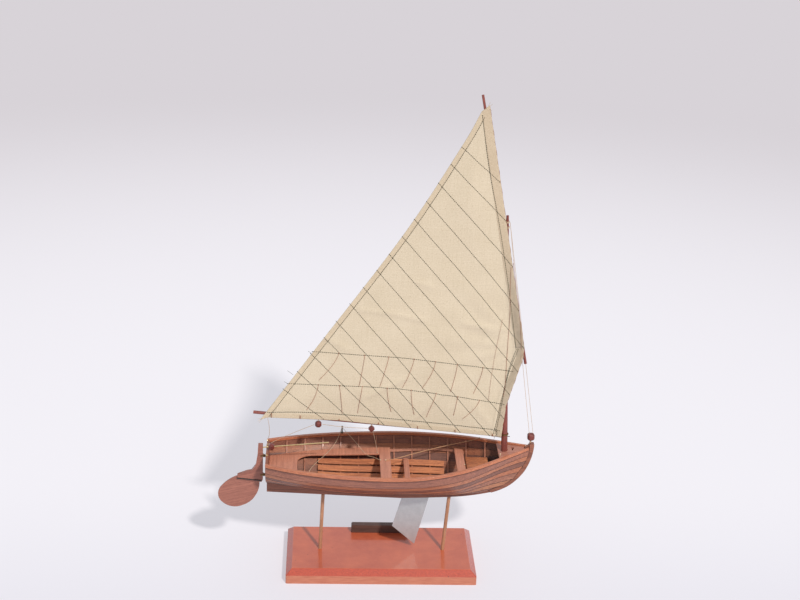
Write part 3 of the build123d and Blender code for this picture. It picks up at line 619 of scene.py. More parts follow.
# %% Edges of the sail, x and z in millimetres
CLEW, TACK, THROAT = (-153.8, 200.1), (146.5, 180.6), (167.9, 303.9)
PEAK_AFT, PEAK_FORE = (101.8, 598.4), (110.0, 605.3)
LEECH_POINTS = (CLEW, (-92.1, 288.9), (13.8, 442.4), (79.8, 554.8), PEAK_AFT)
LUFF_POINTS = (TACK, (150.4, 225.0), (167.9, 289.7), THROAT)
FOOT_POINTS = (CLEW, (-145.8, 203.3), (-56.9, 200.6), (40.9, 190.6), TACK)


def chain(points, rounds=0):
    """Places joined by straight lines; each round cuts the corners between them once."""
    points = [Vector(point) for point in points]
    for _ in range(rounds):
        cut = [points[0]]
        for a, b in zip(points, points[1:]):
            cut += [a.lerp(b, 0.25), a.lerp(b, 0.75)]
        points = cut + [points[-1]]
    return points


def smooth_leech(steps=10):
    """Fair curve through the leech's points, with so many steps from each to the next."""
    points = chain(LEECH_POINTS)
    points = [points[0] * 2 - points[1]] + points + [points[-1] * 2 - points[-2]]
    curve = []
    for a, b, c, d in zip(points, points[1:], points[2:], points[3:]):
        for step in range(steps):
            t = step / steps
            curve.append(0.5 * (2 * b + (c - a) * t + (2 * a - 5 * b + 4 * c - d) * t**2
                                + (3 * b - a - 3 * c + d) * t**3))
    return curve + [points[-2]]


leech, luff, foot, head = smooth_leech(), chain(LUFF_POINTS), chain(FOOT_POINTS), chain((THROAT, PEAK_FORE))
fore = chain(LUFF_POINTS + (PEAK_FORE,))
outline = leech + list(reversed(fore)) + list(reversed(foot))[1:-1]
# The outline, closed by its first place
rim = outline + outline[:1]
area = abs(sum(a.x * b.y - b.x * a.y for a, b in zip(rim, rim[1:]))) / 2
print("sail area", round(area / 100), "square centimetres")


# %% Finding one's way on the sail
def length_of(line):
    """Length of a line through places."""
    return sum((b - a).length for a, b in zip(line, line[1:]))


def walk(points, share):
    """Point at a share of a line's length."""
    lengths = [(b - a).length for a, b in zip(points, points[1:])]
    left = share * sum(lengths)
    for a, b, length in zip(points, points[1:], lengths):
        if left <= length:
            return a.lerp(b, left / length)
        left -= length
    return points[-1].copy()


def heading(line, share, reach):
    """Direction of a line round a share of its length."""
    return walk(line, min(1, share + reach)) - walk(line, max(0, share - reach))


def nearest_on(point, line):
    """Point of a line nearest to a point."""
    best = line[0]
    for a, b in zip(line, line[1:]):
        way = b - a
        share = max(0.0, min(1.0, (point - a).dot(way) / max(way.length_squared, 1e-9)))
        here = a + way * share
        if (point - here).length_squared < (point - best).length_squared:
            best = here
    return best


def off_edge(point):
    """Distance to the nearest edge of the sail."""
    return (point - nearest_on(point, rim)).length


def inside(point):
    """Whether a point lies on the sail, by counting the edges crossed."""
    hit = False
    for a, b in zip(rim, rim[1:]):
        if (a.y > point.y) != (b.y > point.y):
            if point.x < a.x + (point.y - a.y) / (b.y - a.y) * (b.x - a.x):
                hit = not hit
    return hit


print("the luff is", round(length_of(luff)), "mm long, the leech", round(length_of(leech)), "mm")

# %% Folds, creases and the curled edge
# Light folds pressed into the lower part of the cloth
FOLDS = (
    ((-34.0, 348.8), (2.4, 345.9), (43.2, 337.1)), ((-75.7, 311.0), (-45.0, 295.3)),
    ((-23.1, 234.1), (29.6, 261.9)), ((31.8, 198.6), (79.5, 249.2)), ((-142.1, 212.0), (-121.7, 230.4)),
    ((33.3, 386.5), (51.6, 380.4)), ((92.1, 333.6), (141.4, 325.7)), ((-31.5, 243.0), (-24.7, 216.0)),
)
FOLD_LINES = [chain(line) for line in FOLDS]
FOLD_HEIGHT, FOLD_WIDTH = 1.1, 2.8
# Corners where the cloth is pulled, how far their creases reach, and how many would fill a circle
PULLED = ((Vector(THROAT), 190.0, 18.0), (Vector(TACK), 130.0, 16.0))
CREASE_HEIGHT = 0.5
CURL_HEIGHT, CURL_WIDTH = 3.4, 11.0
RIDGE_HEIGHT, RIDGE_PLACE, RIDGE_WIDTH = 1.2, 10.5, 2.0
# Heights at which the curl is full and has died out, and below which only a share of it is left
CURL_FULL, CURL_END, CURL_START, CURL_SHARE = 330.0, 500.0, 270.0, 0.55
RIDGE_FULL, RIDGE_END = 340.0, 430.0


def soft_step(value):
    """Nought to one, leaving and arriving level."""
    value = max(0.0, min(1.0, value))
    return value * value * (3 - 2 * value)


def folded(point):
    """How far the pressed folds stand out at a point."""
    gaps = [(point - nearest_on(point, line)).length for line in FOLD_LINES]
    return sum(FOLD_HEIGHT * math.exp(-((gap / FOLD_WIDTH) ** 2)) for gap in gaps if gap < 3 * FOLD_WIDTH)


def creased(point):
    """Creases that fan out from the throat and from the tack."""
    height = 0.0
    for corner, reach, turns in PULLED:
        way = point - corner
        near = soft_step(1.0 - way.length / reach)
        height += CREASE_HEIGHT * near * math.sin(turns * math.atan2(way.y, way.x))
    return height


def curled(point, z):
    """Curl of the fore edge to starboard, most near the throat, and the ridge behind it."""
    gap = (point - nearest_on(point, fore)).length
    grown = CURL_SHARE + (1 - CURL_SHARE) * soft_step((z - CURL_START) / (CURL_FULL - CURL_START))
    reach = soft_step((CURL_END - z) / (CURL_END - CURL_FULL)) * grown
    curl = CURL_HEIGHT * soft_step(1.0 - gap / CURL_WIDTH) * reach
    ridge = RIDGE_HEIGHT * math.exp(-(((gap - RIDGE_PLACE) / RIDGE_WIDTH) ** 2))
    return curl, ridge * soft_step((RIDGE_END - z) / (RIDGE_END - RIDGE_FULL))


print(len(FOLDS), "folds, and creases from", len(PULLED), "corners")

# %% How far the cloth stands off the flat
BELLY, BELLY_EDGE = 2.6, 46.0
# The sail's plane: its y at this height, and how far it leans to starboard for each mm upwards
PLANE_Y, PLANE_HEIGHT, PLANE_LEAN = -5.8, 195.0, 0.0054


def flat_y(z):
    """Plane of yard, sail and boom in millimetres; starboard is negative."""
    return PLANE_Y - PLANE_LEAN * (z - PLANE_HEIGHT)


def uneven(x, z, scale, height, layer):
    """Slow rise and fall of cloth."""
    return noise.noise(Vector((x * scale, z * scale, layer))) * height


def cloth_y(x, z):
    """Middle of the cloth's thickness, in millimetres."""
    point = Vector((x, z))
    inward = soft_step(off_edge(point) / BELLY_EDGE)
    soft = uneven(x, z, 0.011, 1.6, 3.0) + uneven(x, z, 0.03, 0.45, 7.0)
    curl, ridge = curled(point, z)
    bellied = flat_y(z) - BELLY * inward + (soft + creased(point)) * inward
    return bellied - curl - ridge - folded(point)


def on_cloth(x, z, proud=0.0):
    """Place on the starboard face of the cloth, or to port with a negative value."""
    return Vector((x, cloth_y(x, z) - proud, z)) * MM


print("the belly stands", round(flat_y(375) - cloth_y(60, 375), 1), "mm off the flat")

# %% The cloth itself
ROWS, COLUMNS, CLOTH_THICKNESS = 130, 110, 0.3
# Above one, this draws the columns together towards the fore edge
CROWDING = 1.5


def mesh_from(work, name):
    """Plain mesh from a working mesh, which is then freed."""
    mesh = bpy.data.meshes.new(name)
    work.to_mesh(mesh)
    work.free()
    return mesh


def sail_grid():
    """Grid spread between the four edges, with the cut laid out in metres as its UV map."""
    peak = chain((PEAK_AFT, PEAK_FORE))
    work = bmesh.new()
    cut = work.loops.layers.uv.new("cut")
    rows = []
    for row in range(ROWS + 1):
        v = row / ROWS
        left, right = walk(leech, v), walk(fore, v)
        line = []
        for column in range(COLUMNS + 1):
            # Columns stand closest at the fore edge, where the cloth is creased most
            u = 1 - (1 - column / COLUMNS) ** CROWDING
            place = left.lerp(right, u)
            place += (walk(foot, u) - foot[0].lerp(foot[-1], u)) * (1 - v)
            place += (walk(peak, u) - peak[0].lerp(peak[-1], u)) * v
            line.append(work.verts.new(on_cloth(place.x, place.y)))
        rows.append(line)
    for low, high in zip(rows, rows[1:]):
        for a, b, c, d in zip(low, low[1:], high[1:], high):
            face = work.faces.new((a, b, c, d))
            face.smooth = True
            for loop in face.loops:
                loop[cut].uv = (loop.vert.co.x, loop.vert.co.z)
    return mesh_from(work, "sail_cloth")


def add(name, mesh, finish, body):
    """Put a mesh into the scene as a piece that rides on a body."""
    piece = new_object(name, mesh)
    dress(piece, finish)
    pieces[piece] = (None, body)
    return piece


sail = add("sail_cloth", sail_grid(), "sailcloth", RIG)
thicken = sail.modifiers.new("thickness", "SOLIDIFY")
thicken.thickness = CLOTH_THICKNESS * MM
thicken.offset = 0.0
print("sail cloth of", len(sail.data.polygons), "faces")

# %% [markdown]
# ## Hems
#
# Each edge of the sail is folded over and sewn down, so it is three times as thick as the cloth
# and rounded at the fold. A strip with a folded cross-section, swept along each edge, shows that
# on both faces. The strips on the leech and the head lie over those on the foot and the luff.

# %% Sections of a hem
HEM_STEP = 2.2


def hem_section(width, proud):
    """Pairs of depth from the edge and height over the cloth, round a folded strip."""
    steps = [width * share for share in (0.85, 0.7, 0.55, 0.4, 0.25)]
    section = [(width, 0.10), (width - 0.35, 0.24 + proud)] + [(deep, 0.30 + proud) for deep in steps]
    section += [(1.0, 0.30 + proud), (0.3, 0.24 + proud), (0.0, 0.0), (0.3, -0.20)]
    section += [(1.0, -0.25)] + [(deep, -0.25) for deep in reversed(steps)]
    return section + [(width - 0.35, -0.21), (width, -0.10)]


def join_rings(work, rings):
    """Faces between rings of corners; the last ring may be one point."""
    for ring, following in zip(rings, rings[1:]):
        for i in range(len(ring)):
            j = (i + 1) % len(ring)
            far = following if len(following) == 1 else (following[j], following[i])
            work.faces.new((ring[i], ring[j], *far))


print(len(hem_section(6.0, 0.0)), "corners round a hem")


# %% Hem strips
def hem_ring(line, share, section, side, pull):
    """Places round one section of a strip, kept inside the sail's edge."""
    here = walk(line, share)
    way = heading(line, share, 0.004)
    inward = Vector((-way.y, way.x)).normalized() * side
    ring = []
    for deep, lift in section:
        place = here + inward * (deep * pull - 0.3)
        if deep and not inside(place):
            place = nearest_on(place, rim)
        x, z = place
        puff = uneven(x, z, 0.22, 0.10, 5.0) if lift > 0.2 else 0.0
        ring.append(on_cloth(x, z, lift + puff))
    return ring


def hem(name, line, width, proud, side, finish="hemcloth"):
    """Folded strip along an edge; side says which way is inwards."""
    total = length_of(line)
    count = max(4, int(total / HEM_STEP))
    section = hem_section(width, proud)
    work = bmesh.new()
    cut = work.loops.layers.uv.new("cut")
    rings = []
    for step in range(count + 1):
        share = step / count
        pull = 1.0 + 0.05 * noise.noise(Vector((share * total * 0.08, width, 2.0)))
        rings.append([work.verts.new(place) for place in hem_ring(line, share, section, side, pull)])
    join_rings(work, rings)
    work.faces.new(rings[0])
    work.faces.new(list(reversed(rings[-1])))
    bmesh.ops.recalc_face_normals(work, faces=work.faces)
    for face in work.faces:
        face.smooth = len(face.verts) == 4
        for loop in face.loops:
            # The strip's threads lie slantwise to the sail's
            x, _, z = loop.vert.co
            loop[cut].uv = (z * 0.8 + x * 0.6, x * 0.8 - z * 0.6)
    return add(name, mesh_from(work, name), finish, RIG)


hems = [
    hem("foot_hem", foot, 6.8, 0.0, 1),
    hem("luff_hem", luff, 9.0, 0.03, 1, "shaded_hemcloth"),
    hem("leech_hem", leech, 6.4, 0.06, -1),
    hem("head_hem", head, 11.0, 0.09, 1, "shaded_hemcloth"),
]
print(len(hems), "hems sewn down")

# %% [markdown]
# ## Stitches
#
# Dark thread is sewn in running stitches along the hems, across the sail in fifteen seams and
# along two reef bands. That is about eighteen hundred small stitches, all alike, which is what
# Geometry Nodes are for: a line goes in, points are set along it, and one stitch is copied to
# each point and turned along the line.


# %% What every tree starts and ends with
def new_tree(name, inputs):
    """Empty tree with named inputs, and the identifiers by which a modifier sets them."""
    tree = bpy.data.node_groups.new(name, "GeometryNodeTree")
    tree.is_modifier = True
    ids = {}
    tree.interface.new_socket("Geometry", in_out="INPUT", socket_type="NodeSocketGeometry")
    for label, kind, value in inputs + [("Material", "Material", None)]:
        socket = tree.interface.new_socket(label, in_out="INPUT", socket_type=f"NodeSocket{kind}")
        if value is not None:
            socket.default_value = value
        ids[label] = socket.identifier
    tree.interface.new_socket("Geometry", in_out="OUTPUT", socket_type="NodeSocketGeometry")
    return tree, ids, put(tree, "NodeGroupInput")


def finish_tree(tree, geometry, material):
    """Make the copies real, smooth and finished."""
    real = put(tree, "GeometryNodeRealizeInstances", None, {"Geometry": geometry})
    shaded = put(tree, "GeometryNodeSetShadeSmooth", None, {"Geometry": real})
    done = put(tree, "GeometryNodeSetMaterial", None, {"Geometry": shaded, "Material": material})
    put(tree, "NodeGroupOutput", None, {"Geometry": done})


def lines_object(name, lines):
    """Curve object with one straight-run spline for each list of places."""
    curve = bpy.data.curves.new(name, "CURVE")
    curve.dimensions = "3D"
    for places in lines:
        spline = curve.splines.new("POLY")
        spline.points.add(len(places) - 1)
        for point, place in zip(spline.points, places):
            point.co = (*place, 1.0)
    return new_object(name, curve)


def keep_mesh(thing, name, finish, body):
    """Turn what an object shows into a plain mesh piece."""
    bpy.context.view_layer.update()
    graph = bpy.context.evaluated_depsgraph_get()
    mesh = bpy.data.meshes.new_from_object(thing.evaluated_get(graph))
    mesh.name = name
    bpy.data.objects.remove(thing)
    return add(name, mesh, finish, body)


def follow(tree_and_ids, name, lines, values, finish, body):
    """Run a tree on lines and keep the result as a piece."""
    tree, ids = tree_and_ids
    thing = lines_object(f"{name}_lines", lines)
    modifier = thing.modifiers.new("nodes", "NODES")
    modifier.node_group = tree
    for label, value in values.items():
        modifier[ids[label]] = value
    modifier[ids["Material"]] = finishes[finish]
    return keep_mesh(thing, name, finish, body)


print("every tree ends in real copies with one finish")


# %% A tree for stitches
def stitch_tree():
    """One long ball of thread for each stitch of a line."""
    inputs = [("Stitch", "Float", 0.0021), ("Gap", "Float", 0.0003), ("Thread", "Float", 0.0005)]
    tree, ids, entry = new_tree("running stitches", inputs)
    reach = {"Curve": entry, "Length": entry.side("Stitch") + entry.side("Gap")}
    points = put(tree, "GeometryNodeCurveToPoints", {"mode": "LENGTH"}, reach)
    ball = {"Segments": 6, "Rings": 4, "Radius": 0.5}
    ball = put(tree, "GeometryNodeMeshUVSphere", None, ball)
    thick = entry.side("Thread")
    size = put(tree, "ShaderNodeCombineXYZ", None, {0: thick, 1: thick, 2: entry.side("Stitch")})
    laid = {"Points": points, "Instance": ball, "Rotation": points.side("Rotation"), "Scale": size}
    laid = put(tree, "GeometryNodeInstanceOnPoints", None, laid)
    finish_tree(tree, laid, entry.side("Material"))
    return tree, ids


stitches = stitch_tree()
print("stitch tree with", len(stitches[1]), "inputs")

# %% Seams across the sail
# Where each seam leaves the leech, x and z in millimetres, and its slope
SEAMS = (
    (80.2, 554.6, -0.93), (68.6, 533.4, -1.04), (54.8, 510.3, -1.12), (41.6, 487.2, -1.16),
    (27.6, 464.9, -1.16), (14.1, 442.8, -1.16), (-0.8, 420.4, -1.17), (-14.8, 399.5, -1.18),
    (-30.8, 377.5, -1.2), (-46.3, 355.9, -1.2), (-62.5, 333.2, -1.17), (-76.7, 311.7, -1.1),
    (-92.8, 290.0, -1.05), (-108.7, 265.8, -1.0), (-126.0, 242.1, -0.84),
)
SEW_STEP, MOST_STEPS = 2.0, 400
SEAM_BOW, BOW_LENGTH, SEAM_WAVER = 1.6, 190.0, 0.35
# A seam lies over the hems near the edges and on the bare cloth elsewhere
HEM_REACH, ON_HEM, ON_BARE = 9.0, 0.42, 0.20
SEAM_THREAD = {"Thread": 0.84 * MM}


def seam(x, z, slope, number):
    """Line of sewing from the leech until it leaves the sail."""
    way = Vector((1.0, slope)).normalized()
    side = Vector((-way.y, way.x))
    places = []
    for step in range(MOST_STEPS):
        along = step * SEW_STEP
        bow = SEAM_BOW * math.sin(min(1.0, along / BOW_LENGTH) * math.pi)
        waver = SEAM_WAVER * noise.noise(Vector((along * 0.05, number * 3.1, 0.0)))
        point = Vector((x, z)) + way * along + side * (bow + waver)
        if step > 1 and not inside(point):
            break
        places.append(on_cloth(point.x, point.y, ON_HEM if off_edge(point) < HEM_REACH else ON_BARE))
    return places


seams = [seam(*start, number) for number, start in enumerate(SEAMS)]
panel_seams = follow(stitches, "panel_seams", seams, SEAM_THREAD, "seam_thread", RIG)
print(len(seams), "seams with", len(panel_seams.data.polygons), "faces")

# %% Seams of the hems, and the reef bands
HEAD_SEAM = ((102.2, 592.7), (113.8, 525.2), (127.6, 468.9), (139.1, 411.1), (149.0, 358.1), (158.6, 300.0))
LUFF_SEAM = ((158.6, 300.0), (150.0, 269.7), (143.8, 226.2), (137.0, 186.0))
FOOT_SEAM = ((-145.0, 210.4), (-98.9, 211.6), (-49.3, 208.6), (-5.8, 205.2), (69.3, 198.3), (144.9, 189.8))
UPPER_BAND = ((-90.7, 292.7), (-28.0, 290.4), (33.4, 286.4), (87.5, 279.7), (149.7, 271.3), (157.0, 270.4))
LOWER_BAND = (
    (-120.8, 249.6), (-56.3, 248.9), (-0.8, 247.1), (30.2, 244.2), (89.5, 235.9), (142.9, 226.6),
    (149.6, 225.6),
)
LEECH_HEM_DEPTH = 6.0
# The luff was sewn twice, the second time less straight
SECOND_LUFF_SEAM = [(x + 1.6 + 0.9 * math.sin(z * 0.11), z) for x, z in LUFF_SEAM]


def sewn(points, lift, wander=0.25):
    """Places on the cloth along a line, wandering a little from side to side."""
    line = chain(points, rounds=2)
    total = length_of(line)
    places = []
    for index in range(int(total / SEW_STEP) + 1):
        x, z = walk(line, index * SEW_STEP / total)
        z += wander * noise.noise(Vector((index * SEW_STEP * 0.07, points[0][0], 4.0)))
        places.append(on_cloth(x, z, lift))
    return places


def inner_line(line, depth):
    """Line inside the leech, which runs upwards with the sail on its right."""
    moved = []
    for before, here, after in zip([line[0]] + line, line, line[1:] + [line[-1]]):
        way = after - before
        moved.append(here + Vector((way.y, -way.x)).normalized() * depth)
    return moved


leech_seam = inner_line(leech[1:-1], LEECH_HEM_DEPTH)
hem_lines = [sewn(leech_seam, 0.42), sewn(HEAD_SEAM, 0.48), sewn(LUFF_SEAM, 0.46), sewn(FOOT_SEAM, 0.38)]
hem_lines += [sewn(SECOND_LUFF_SEAM, 0.46, 1.2)]
hem_seams = follow(stitches, "hem_seams", hem_lines, SEAM_THREAD, "seam_thread", RIG)
bands = [sewn(UPPER_BAND, 0.26), sewn(LOWER_BAND, 0.26)]
reef_bands = follow(stitches, "reef_bands", bands, SEAM_THREAD, "seam_thread", RIG)
print(len(hem_lines), "seams of the hems and", len(bands), "reef bands")

# %% [markdown]
# ## Reef points and laid lines
#
# Thread and rope are two or three strands laid round each other. A smooth tube looks like wire
# at this scale. A second tree makes any line laid: it copies the line once per strand, pushes
# each copy off the middle by an angle that grows along the line, and gives each a round section.


# %% A tree for laid lines
def laid_tree():
    """Strands laid round a line."""
    inputs = [("Strands", "Int", 2), ("Radius", "Float", 0.0003), ("Lay", "Float", 0.002)]
    inputs += [("Step", "Float", 0.0004), ("Sides", "Int", 6)]
    tree, ids, entry = new_tree("laid line", inputs)
    line = {"Curve": entry, "Length": entry.side("Step")}
    line = put(tree, "GeometryNodeResampleCurve", {"mode": "LENGTH"}, line)
    strands = {"Geometry": line, "Amount": entry.side("Strands")}
    strands = put(tree, "GeometryNodeDuplicateElements", {"domain": "SPLINE"}, strands)
    along = put(tree, "GeometryNodeSplineParameter").side("Length")
    angle = (along / entry.side("Lay") + strands.side("Duplicate Index") / entry.side("Strands")) * math.tau
    tangent = put(tree, "GeometryNodeInputTangent")
    normal = put(tree, "GeometryNodeInputNormal")
    sideways = put(tree, "ShaderNodeVectorMath", {"operation": "CROSS_PRODUCT"}, {0: tangent, 1: normal})
    offset = entry.side("Radius") * 0.5
    first = {0: normal, "Scale": angle.math("COSINE") * offset}
    second = {0: sideways, "Scale": angle.math("SINE") * offset}
    first = put(tree, "ShaderNodeVectorMath", {"operation": "SCALE"}, first)
    second = put(tree, "ShaderNodeVectorMath", {"operation": "SCALE"}, second)
    push = put(tree, "ShaderNodeVectorMath", {"operation": "ADD"}, {0: first, 1: second})
    pushed = put(tree, "GeometryNodeSetPosition", None, {"Geometry": strands, "Offset": push})
    ring = {"Resolution": entry.side("Sides"), "Radius": entry.side("Radius") * 0.54}
    ring = put(tree, "GeometryNodeCurvePrimitiveCircle", {"mode": "RADIUS"}, ring)
    tube = {"Curve": pushed, "Profile Curve": ring, "Fill Caps": True}
    finish_tree(tree, put(tree, "GeometryNodeCurveToMesh", None, tube), entry.side("Material"))
    return tree, ids


laid = laid_tree()
LAY, STEP = 3.4, 0.6


def laid_lines(name, lines, diameter, finish, body, step=None, strands=2):
    """Laid thread or rope of this diameter in millimetres along each list of places."""
    values = {"Strands": strands, "Radius": diameter * MM / 2, "Lay": diameter * LAY * MM}
    values["Step"] = (step or diameter * STEP) * MM
    return follow(laid, name, lines, values, finish, body)


print("laid-line tree with", len(laid[1]), "inputs")

# %% Reef points, both sides of the sail
# Where each hangs from its band, how far it leans and how far it drops, in mm
UPPER_REEFS = (
    (-58.5, 292.4, -24, 37), (-27.0, 290.3, -6, 42), (2.6, 288.4, -10, 40), (33.6, 286.2, -13, 39),
    (60.0, 283.2, -15, 36), (87.1, 279.6, -7, 37), (118.9, 275.3, -10, 35),
)
LOWER_REEFS = (
    (-83.1, 249.2, -14, 35), (-56.8, 248.9, 4, 39), (-28.8, 248.2, -5, 37), (1.8, 246.9, 6, 33),
    (31.7, 243.9, 5, 34), (62.6, 239.8, -11, 33), (89.6, 235.8, -4, 26), (116.8, 231.3, -20, 26),
)
REEF_STEPS = 24
# How far the thread curls to one side, how far it stands off the cloth at the band, and how much
# further halfway down and at its end
REEF_CURL, REEF_LIFT, REEF_BOW, REEF_END = 2.2, 0.42, 0.5, 0.4


def reef_point(x, z, lean, drop, face):
    """Thread hanging from a reef band on one face of the sail."""
    places = []
    curl = REEF_CURL * noise.noise(Vector((x * 0.31, z * 0.17, face)))
    for step in range(REEF_STEPS + 1):
        share = step / REEF_STEPS
        bow = math.sin(share * math.pi)
        proud = REEF_LIFT + REEF_BOW * bow + REEF_END * share
        places.append(on_cloth(x + lean * share**1.4 + curl * bow, z - drop * share, proud * face))
    return places


hanging = [reef_point(*point, face) for point in UPPER_REEFS + LOWER_REEFS for face in (1, -1)]
reef_points = laid_lines("reef_points", hanging, 0.5, "brown_thread", RIG)
print(len(hanging), "reef points hang from two bands")

# %% Knots where they pass through the cloth
KNOT_SEED = 4
ANY_TURN = 6.28


def knot_tree():
    """One small uneven ball at each place, each turned its own way."""
    tree, ids, entry = new_tree("knots", [("Size", "Float", 0.0011)])
    points = put(tree, "GeometryNodeCurveToPoints", {"mode": "EVALUATED"}, {"Curve": entry})
    ball = put(tree, "GeometryNodeMeshIcoSphere", None, {"Radius": 0.5, "Subdivisions": 2})
    turn = {0: (0.0, 0.0, 0.0), 1: (ANY_TURN, ANY_TURN, ANY_TURN), "Seed": KNOT_SEED}
    turn = put(tree, "FunctionNodeRandomValue", {"data_type": "FLOAT_VECTOR"}, turn)
    size = entry.side("Size")
    shape = put(tree, "ShaderNodeCombineXYZ", None, {0: size * 1.25, 1: size, 2: size * 0.8})
    tied = {"Points": points, "Instance": ball, "Rotation": turn, "Scale": shape}
    tied = put(tree, "GeometryNodeInstanceOnPoints", None, tied)
    finish_tree(tree, tied, entry.side("Material"))
    return tree, ids


knots = knot_tree()


def tie(name, lines, size, finish, body):
    """Knots of this size in millimetres at the places."""
    return follow(knots, name, lines, {"Size": size * MM}, finish, body)


KNOT_LIFT = 0.45
reefs = (UPPER_REEFS, LOWER_REEFS)
rows = [[on_cloth(x, z, lift) for x, z, *_ in reef] for lift in (KNOT_LIFT, -KNOT_LIFT) for reef in reefs]
reef_knots = tie("reef_knots", rows, 1.3, "brown_thread", RIG)
print("a knot at each reef point")

# %% Lacing along head and luff
LACING_STEP = 1.2
# How far the thread lies outside the edge, how much that varies, and how far it goes to each side
LACING_OUT, LACING_SWAY, LACING_SIDE = 0.25, 0.15, 0.5


def lacing(line):
    """Thread that winds along an edge, in and out of the cloth."""
    total = length_of(line)
    places = []
    for index in range(int(total / LACING_STEP) + 1):
        share = min(1.0, index * LACING_STEP / total)
        way = heading(line, share, 0.01)
        out = Vector((way.y, -way.x)).normalized()
        here = walk(line, share) + out * (LACING_OUT + LACING_SWAY * math.sin(index * 0.31))
        y = cloth_y(here.x, here.y) + LACING_SIDE * math.cos(index * 0.62)
        places.append(Vector((here.x, y, here.y)) * MM)
    return places


head_lacing = laid_lines("head_lacing", [lacing(head), lacing(luff)], 0.42, "brown_thread", RIG)
print("head and luff laced")

# %% Loose threads and frayed ends
LOOSE = (
    ((145.9, 407.6), (146.6, 377.7), (148.5, 345.3), (147.7, 295.2), (148.1, 255.0), (146.2, 236.0)),
    ((148.4, 413.1), (153.7, 383.7), (159.3, 351.4), (163.3, 318.1), (164.7, 300.2)),
)
FINE = (((139.6, 340.0), (133.5, 300.0), (129.8, 262.0), (128.0, 231.0)),)
# Pale ends at the clew, the throat and the peak
PALE_FRAYS = (
    ((-153.0, 200.8), (-157.2, 198.4)), ((-152.6, 200.2), (-155.6, 196.4)),
    ((-153.6, 201.6), (-157.0, 201.8)), ((166.2, 300.0), (168.8, 290.0)),
    ((165.2, 299.0), (165.0, 286.8)), ((166.8, 296.0), (163.4, 281.0)),
    ((108.6, 604.6), (110.6, 609.6)), ((109.4, 604.0), (113.4, 607.2)),
    ((109.8, 601.0), (113.0, 599.4)),
)
# Dark ends where the reef bands and a seam leave the leech, and a loop at the tack
DARK_FRAYS = (
    ((-91.6, 290.6), (-96.0, 293.4)), ((-120.6, 249.4), (-124.8, 252.6)),
    ((-113.8, 261.4), (-121.0, 267.4)),
    ((137.0, 194.0), (142.4, 186.6), (138.2, 181.2), (137.4, 177.2)),
)


def stray(points, rounds, lift, rise=0.0):
    """Thread lying on the starboard face, rising a little from one place to the next."""
    return [on_cloth(x, z, lift + rise * n) for n, (x, z) in enumerate(chain(points, rounds))]


def strays(name, lines, diameter, finish, *lie):
    """Stray threads of one thickness."""
    return laid_lines(name, [stray(points, *lie) for points in lines], diameter, finish, RIG)


loose_threads = strays("loose_threads", LOOSE, 0.5, "brown_thread", 3, 0.75)
fine_thread = strays("fine_thread", FINE, 0.3, "brown_thread", 3, 0.75)
pale_frays = strays("pale_frays", PALE_FRAYS, 0.35, "linen_thread", 1, 0.4, 0.3)
dark_frays = strays("dark_frays", DARK_FRAYS, 0.4, "seam_thread", 1, 0.4, 0.3)
print(len(LOOSE) + len(FINE), "loose threads and", len(PALE_FRAYS) + len(DARK_FRAYS), "frayed ends")

# %% Ties round the boom
BOOM_AFT, BOOM_FORE = Vector((-162.9, 209.2)), Vector((146.0, 182.2))
TIE_PLACES = (-141.0, -105.3, -56.9, -8.0, 40.9, 88.0, 134.9)
TIE_STEPS, TIE_TURNS, TIE_DRIFT, TIE_REACH = 56, 2, 1.2, 3.7
# The boom lies this far to port of the sail; a tie reaches over it and a little below the foot
BOOM_TO_PORT, OVER_BOOM, UNDER_FOOT, TIE_TO_STARBOARD = 2.4, 2.7, 0.5, 0.9


def boom_at(x):
    """Middle of the boom at this x."""
    share = (x - BOOM_AFT.x) / (BOOM_FORE.x - BOOM_AFT.x)
    z = BOOM_AFT.y + (BOOM_FORE.y - BOOM_AFT.y) * share
    return Vector((x, flat_y(z) + BOOM_TO_PORT, z))


def foot_tie(x):
    """Two turns of thread round the boom and through the foot of the sail."""
    middle = boom_at(x)
    low = walk(foot, (x - foot[0].x) / (foot[-1].x - foot[0].x)).y - UNDER_FOOT
    high = middle.z + OVER_BOOM
    loop = []
    for step in range(TIE_STEPS + 1):
        angle = step / TIE_STEPS * math.tau * TIE_TURNS
        y = middle.y - TIE_TO_STARBOARD + TIE_REACH * math.cos(angle)
        z = (high + low) / 2 + (high - low) / 2 * math.sin(angle)
        loop.append(Vector((x + step / TIE_STEPS * TIE_DRIFT, y, z)) * MM)
    return loop


foot_ties = laid_lines("foot_ties", [foot_tie(x) for x in TIE_PLACES], 0.55, "brown_thread", RIG)
print(len(TIE_PLACES), "ties round the boom")

# %% [markdown]
# ## Beads
#
# Carved wooden beads stand in for the blocks of a full-size boat. Their CAD solids are blocks
# with all edges cut back. They could be spheres, but the real beads keep a trace of their flats.
# A wider bevel in four steps rounds them the way a file and sandpaper do.

# %% Beads
BEADS = {"stem_bead": 1.0, "tiller_bead": 0.9, "sheet_blocks": 0.8}
for node, width in BEADS.items():
    eased(node, width, "bead_wood", steps=4)
print(len(BEADS), "beads rounded")

# %% [markdown]
# ## Standing and running lines
#
# A doubled thread stays the mast to the stem. The sheet runs from the transom through two beads
# under the boom. Each line is drawn as a few places with eased corners and then laid. Lines from
# the hull to the rig are attached to neither body.

# %% The forestay
STAY_HEAD, STAY_FOOT = (142.9, 461.0), (185.2, 183.2)
# How far each thread lies from the middle across the boat, and along it at the foot and halfway
STAY_GAP, FOOT_SPREAD, MIDDLE_SPREAD, STAY_SAG = 0.6, 2.4, 0.5, 0.6


def sagging(*points):
    """Places along a line whose corners are eased, given in millimetres."""
    return [point * MM for point in chain(points, rounds=3)]


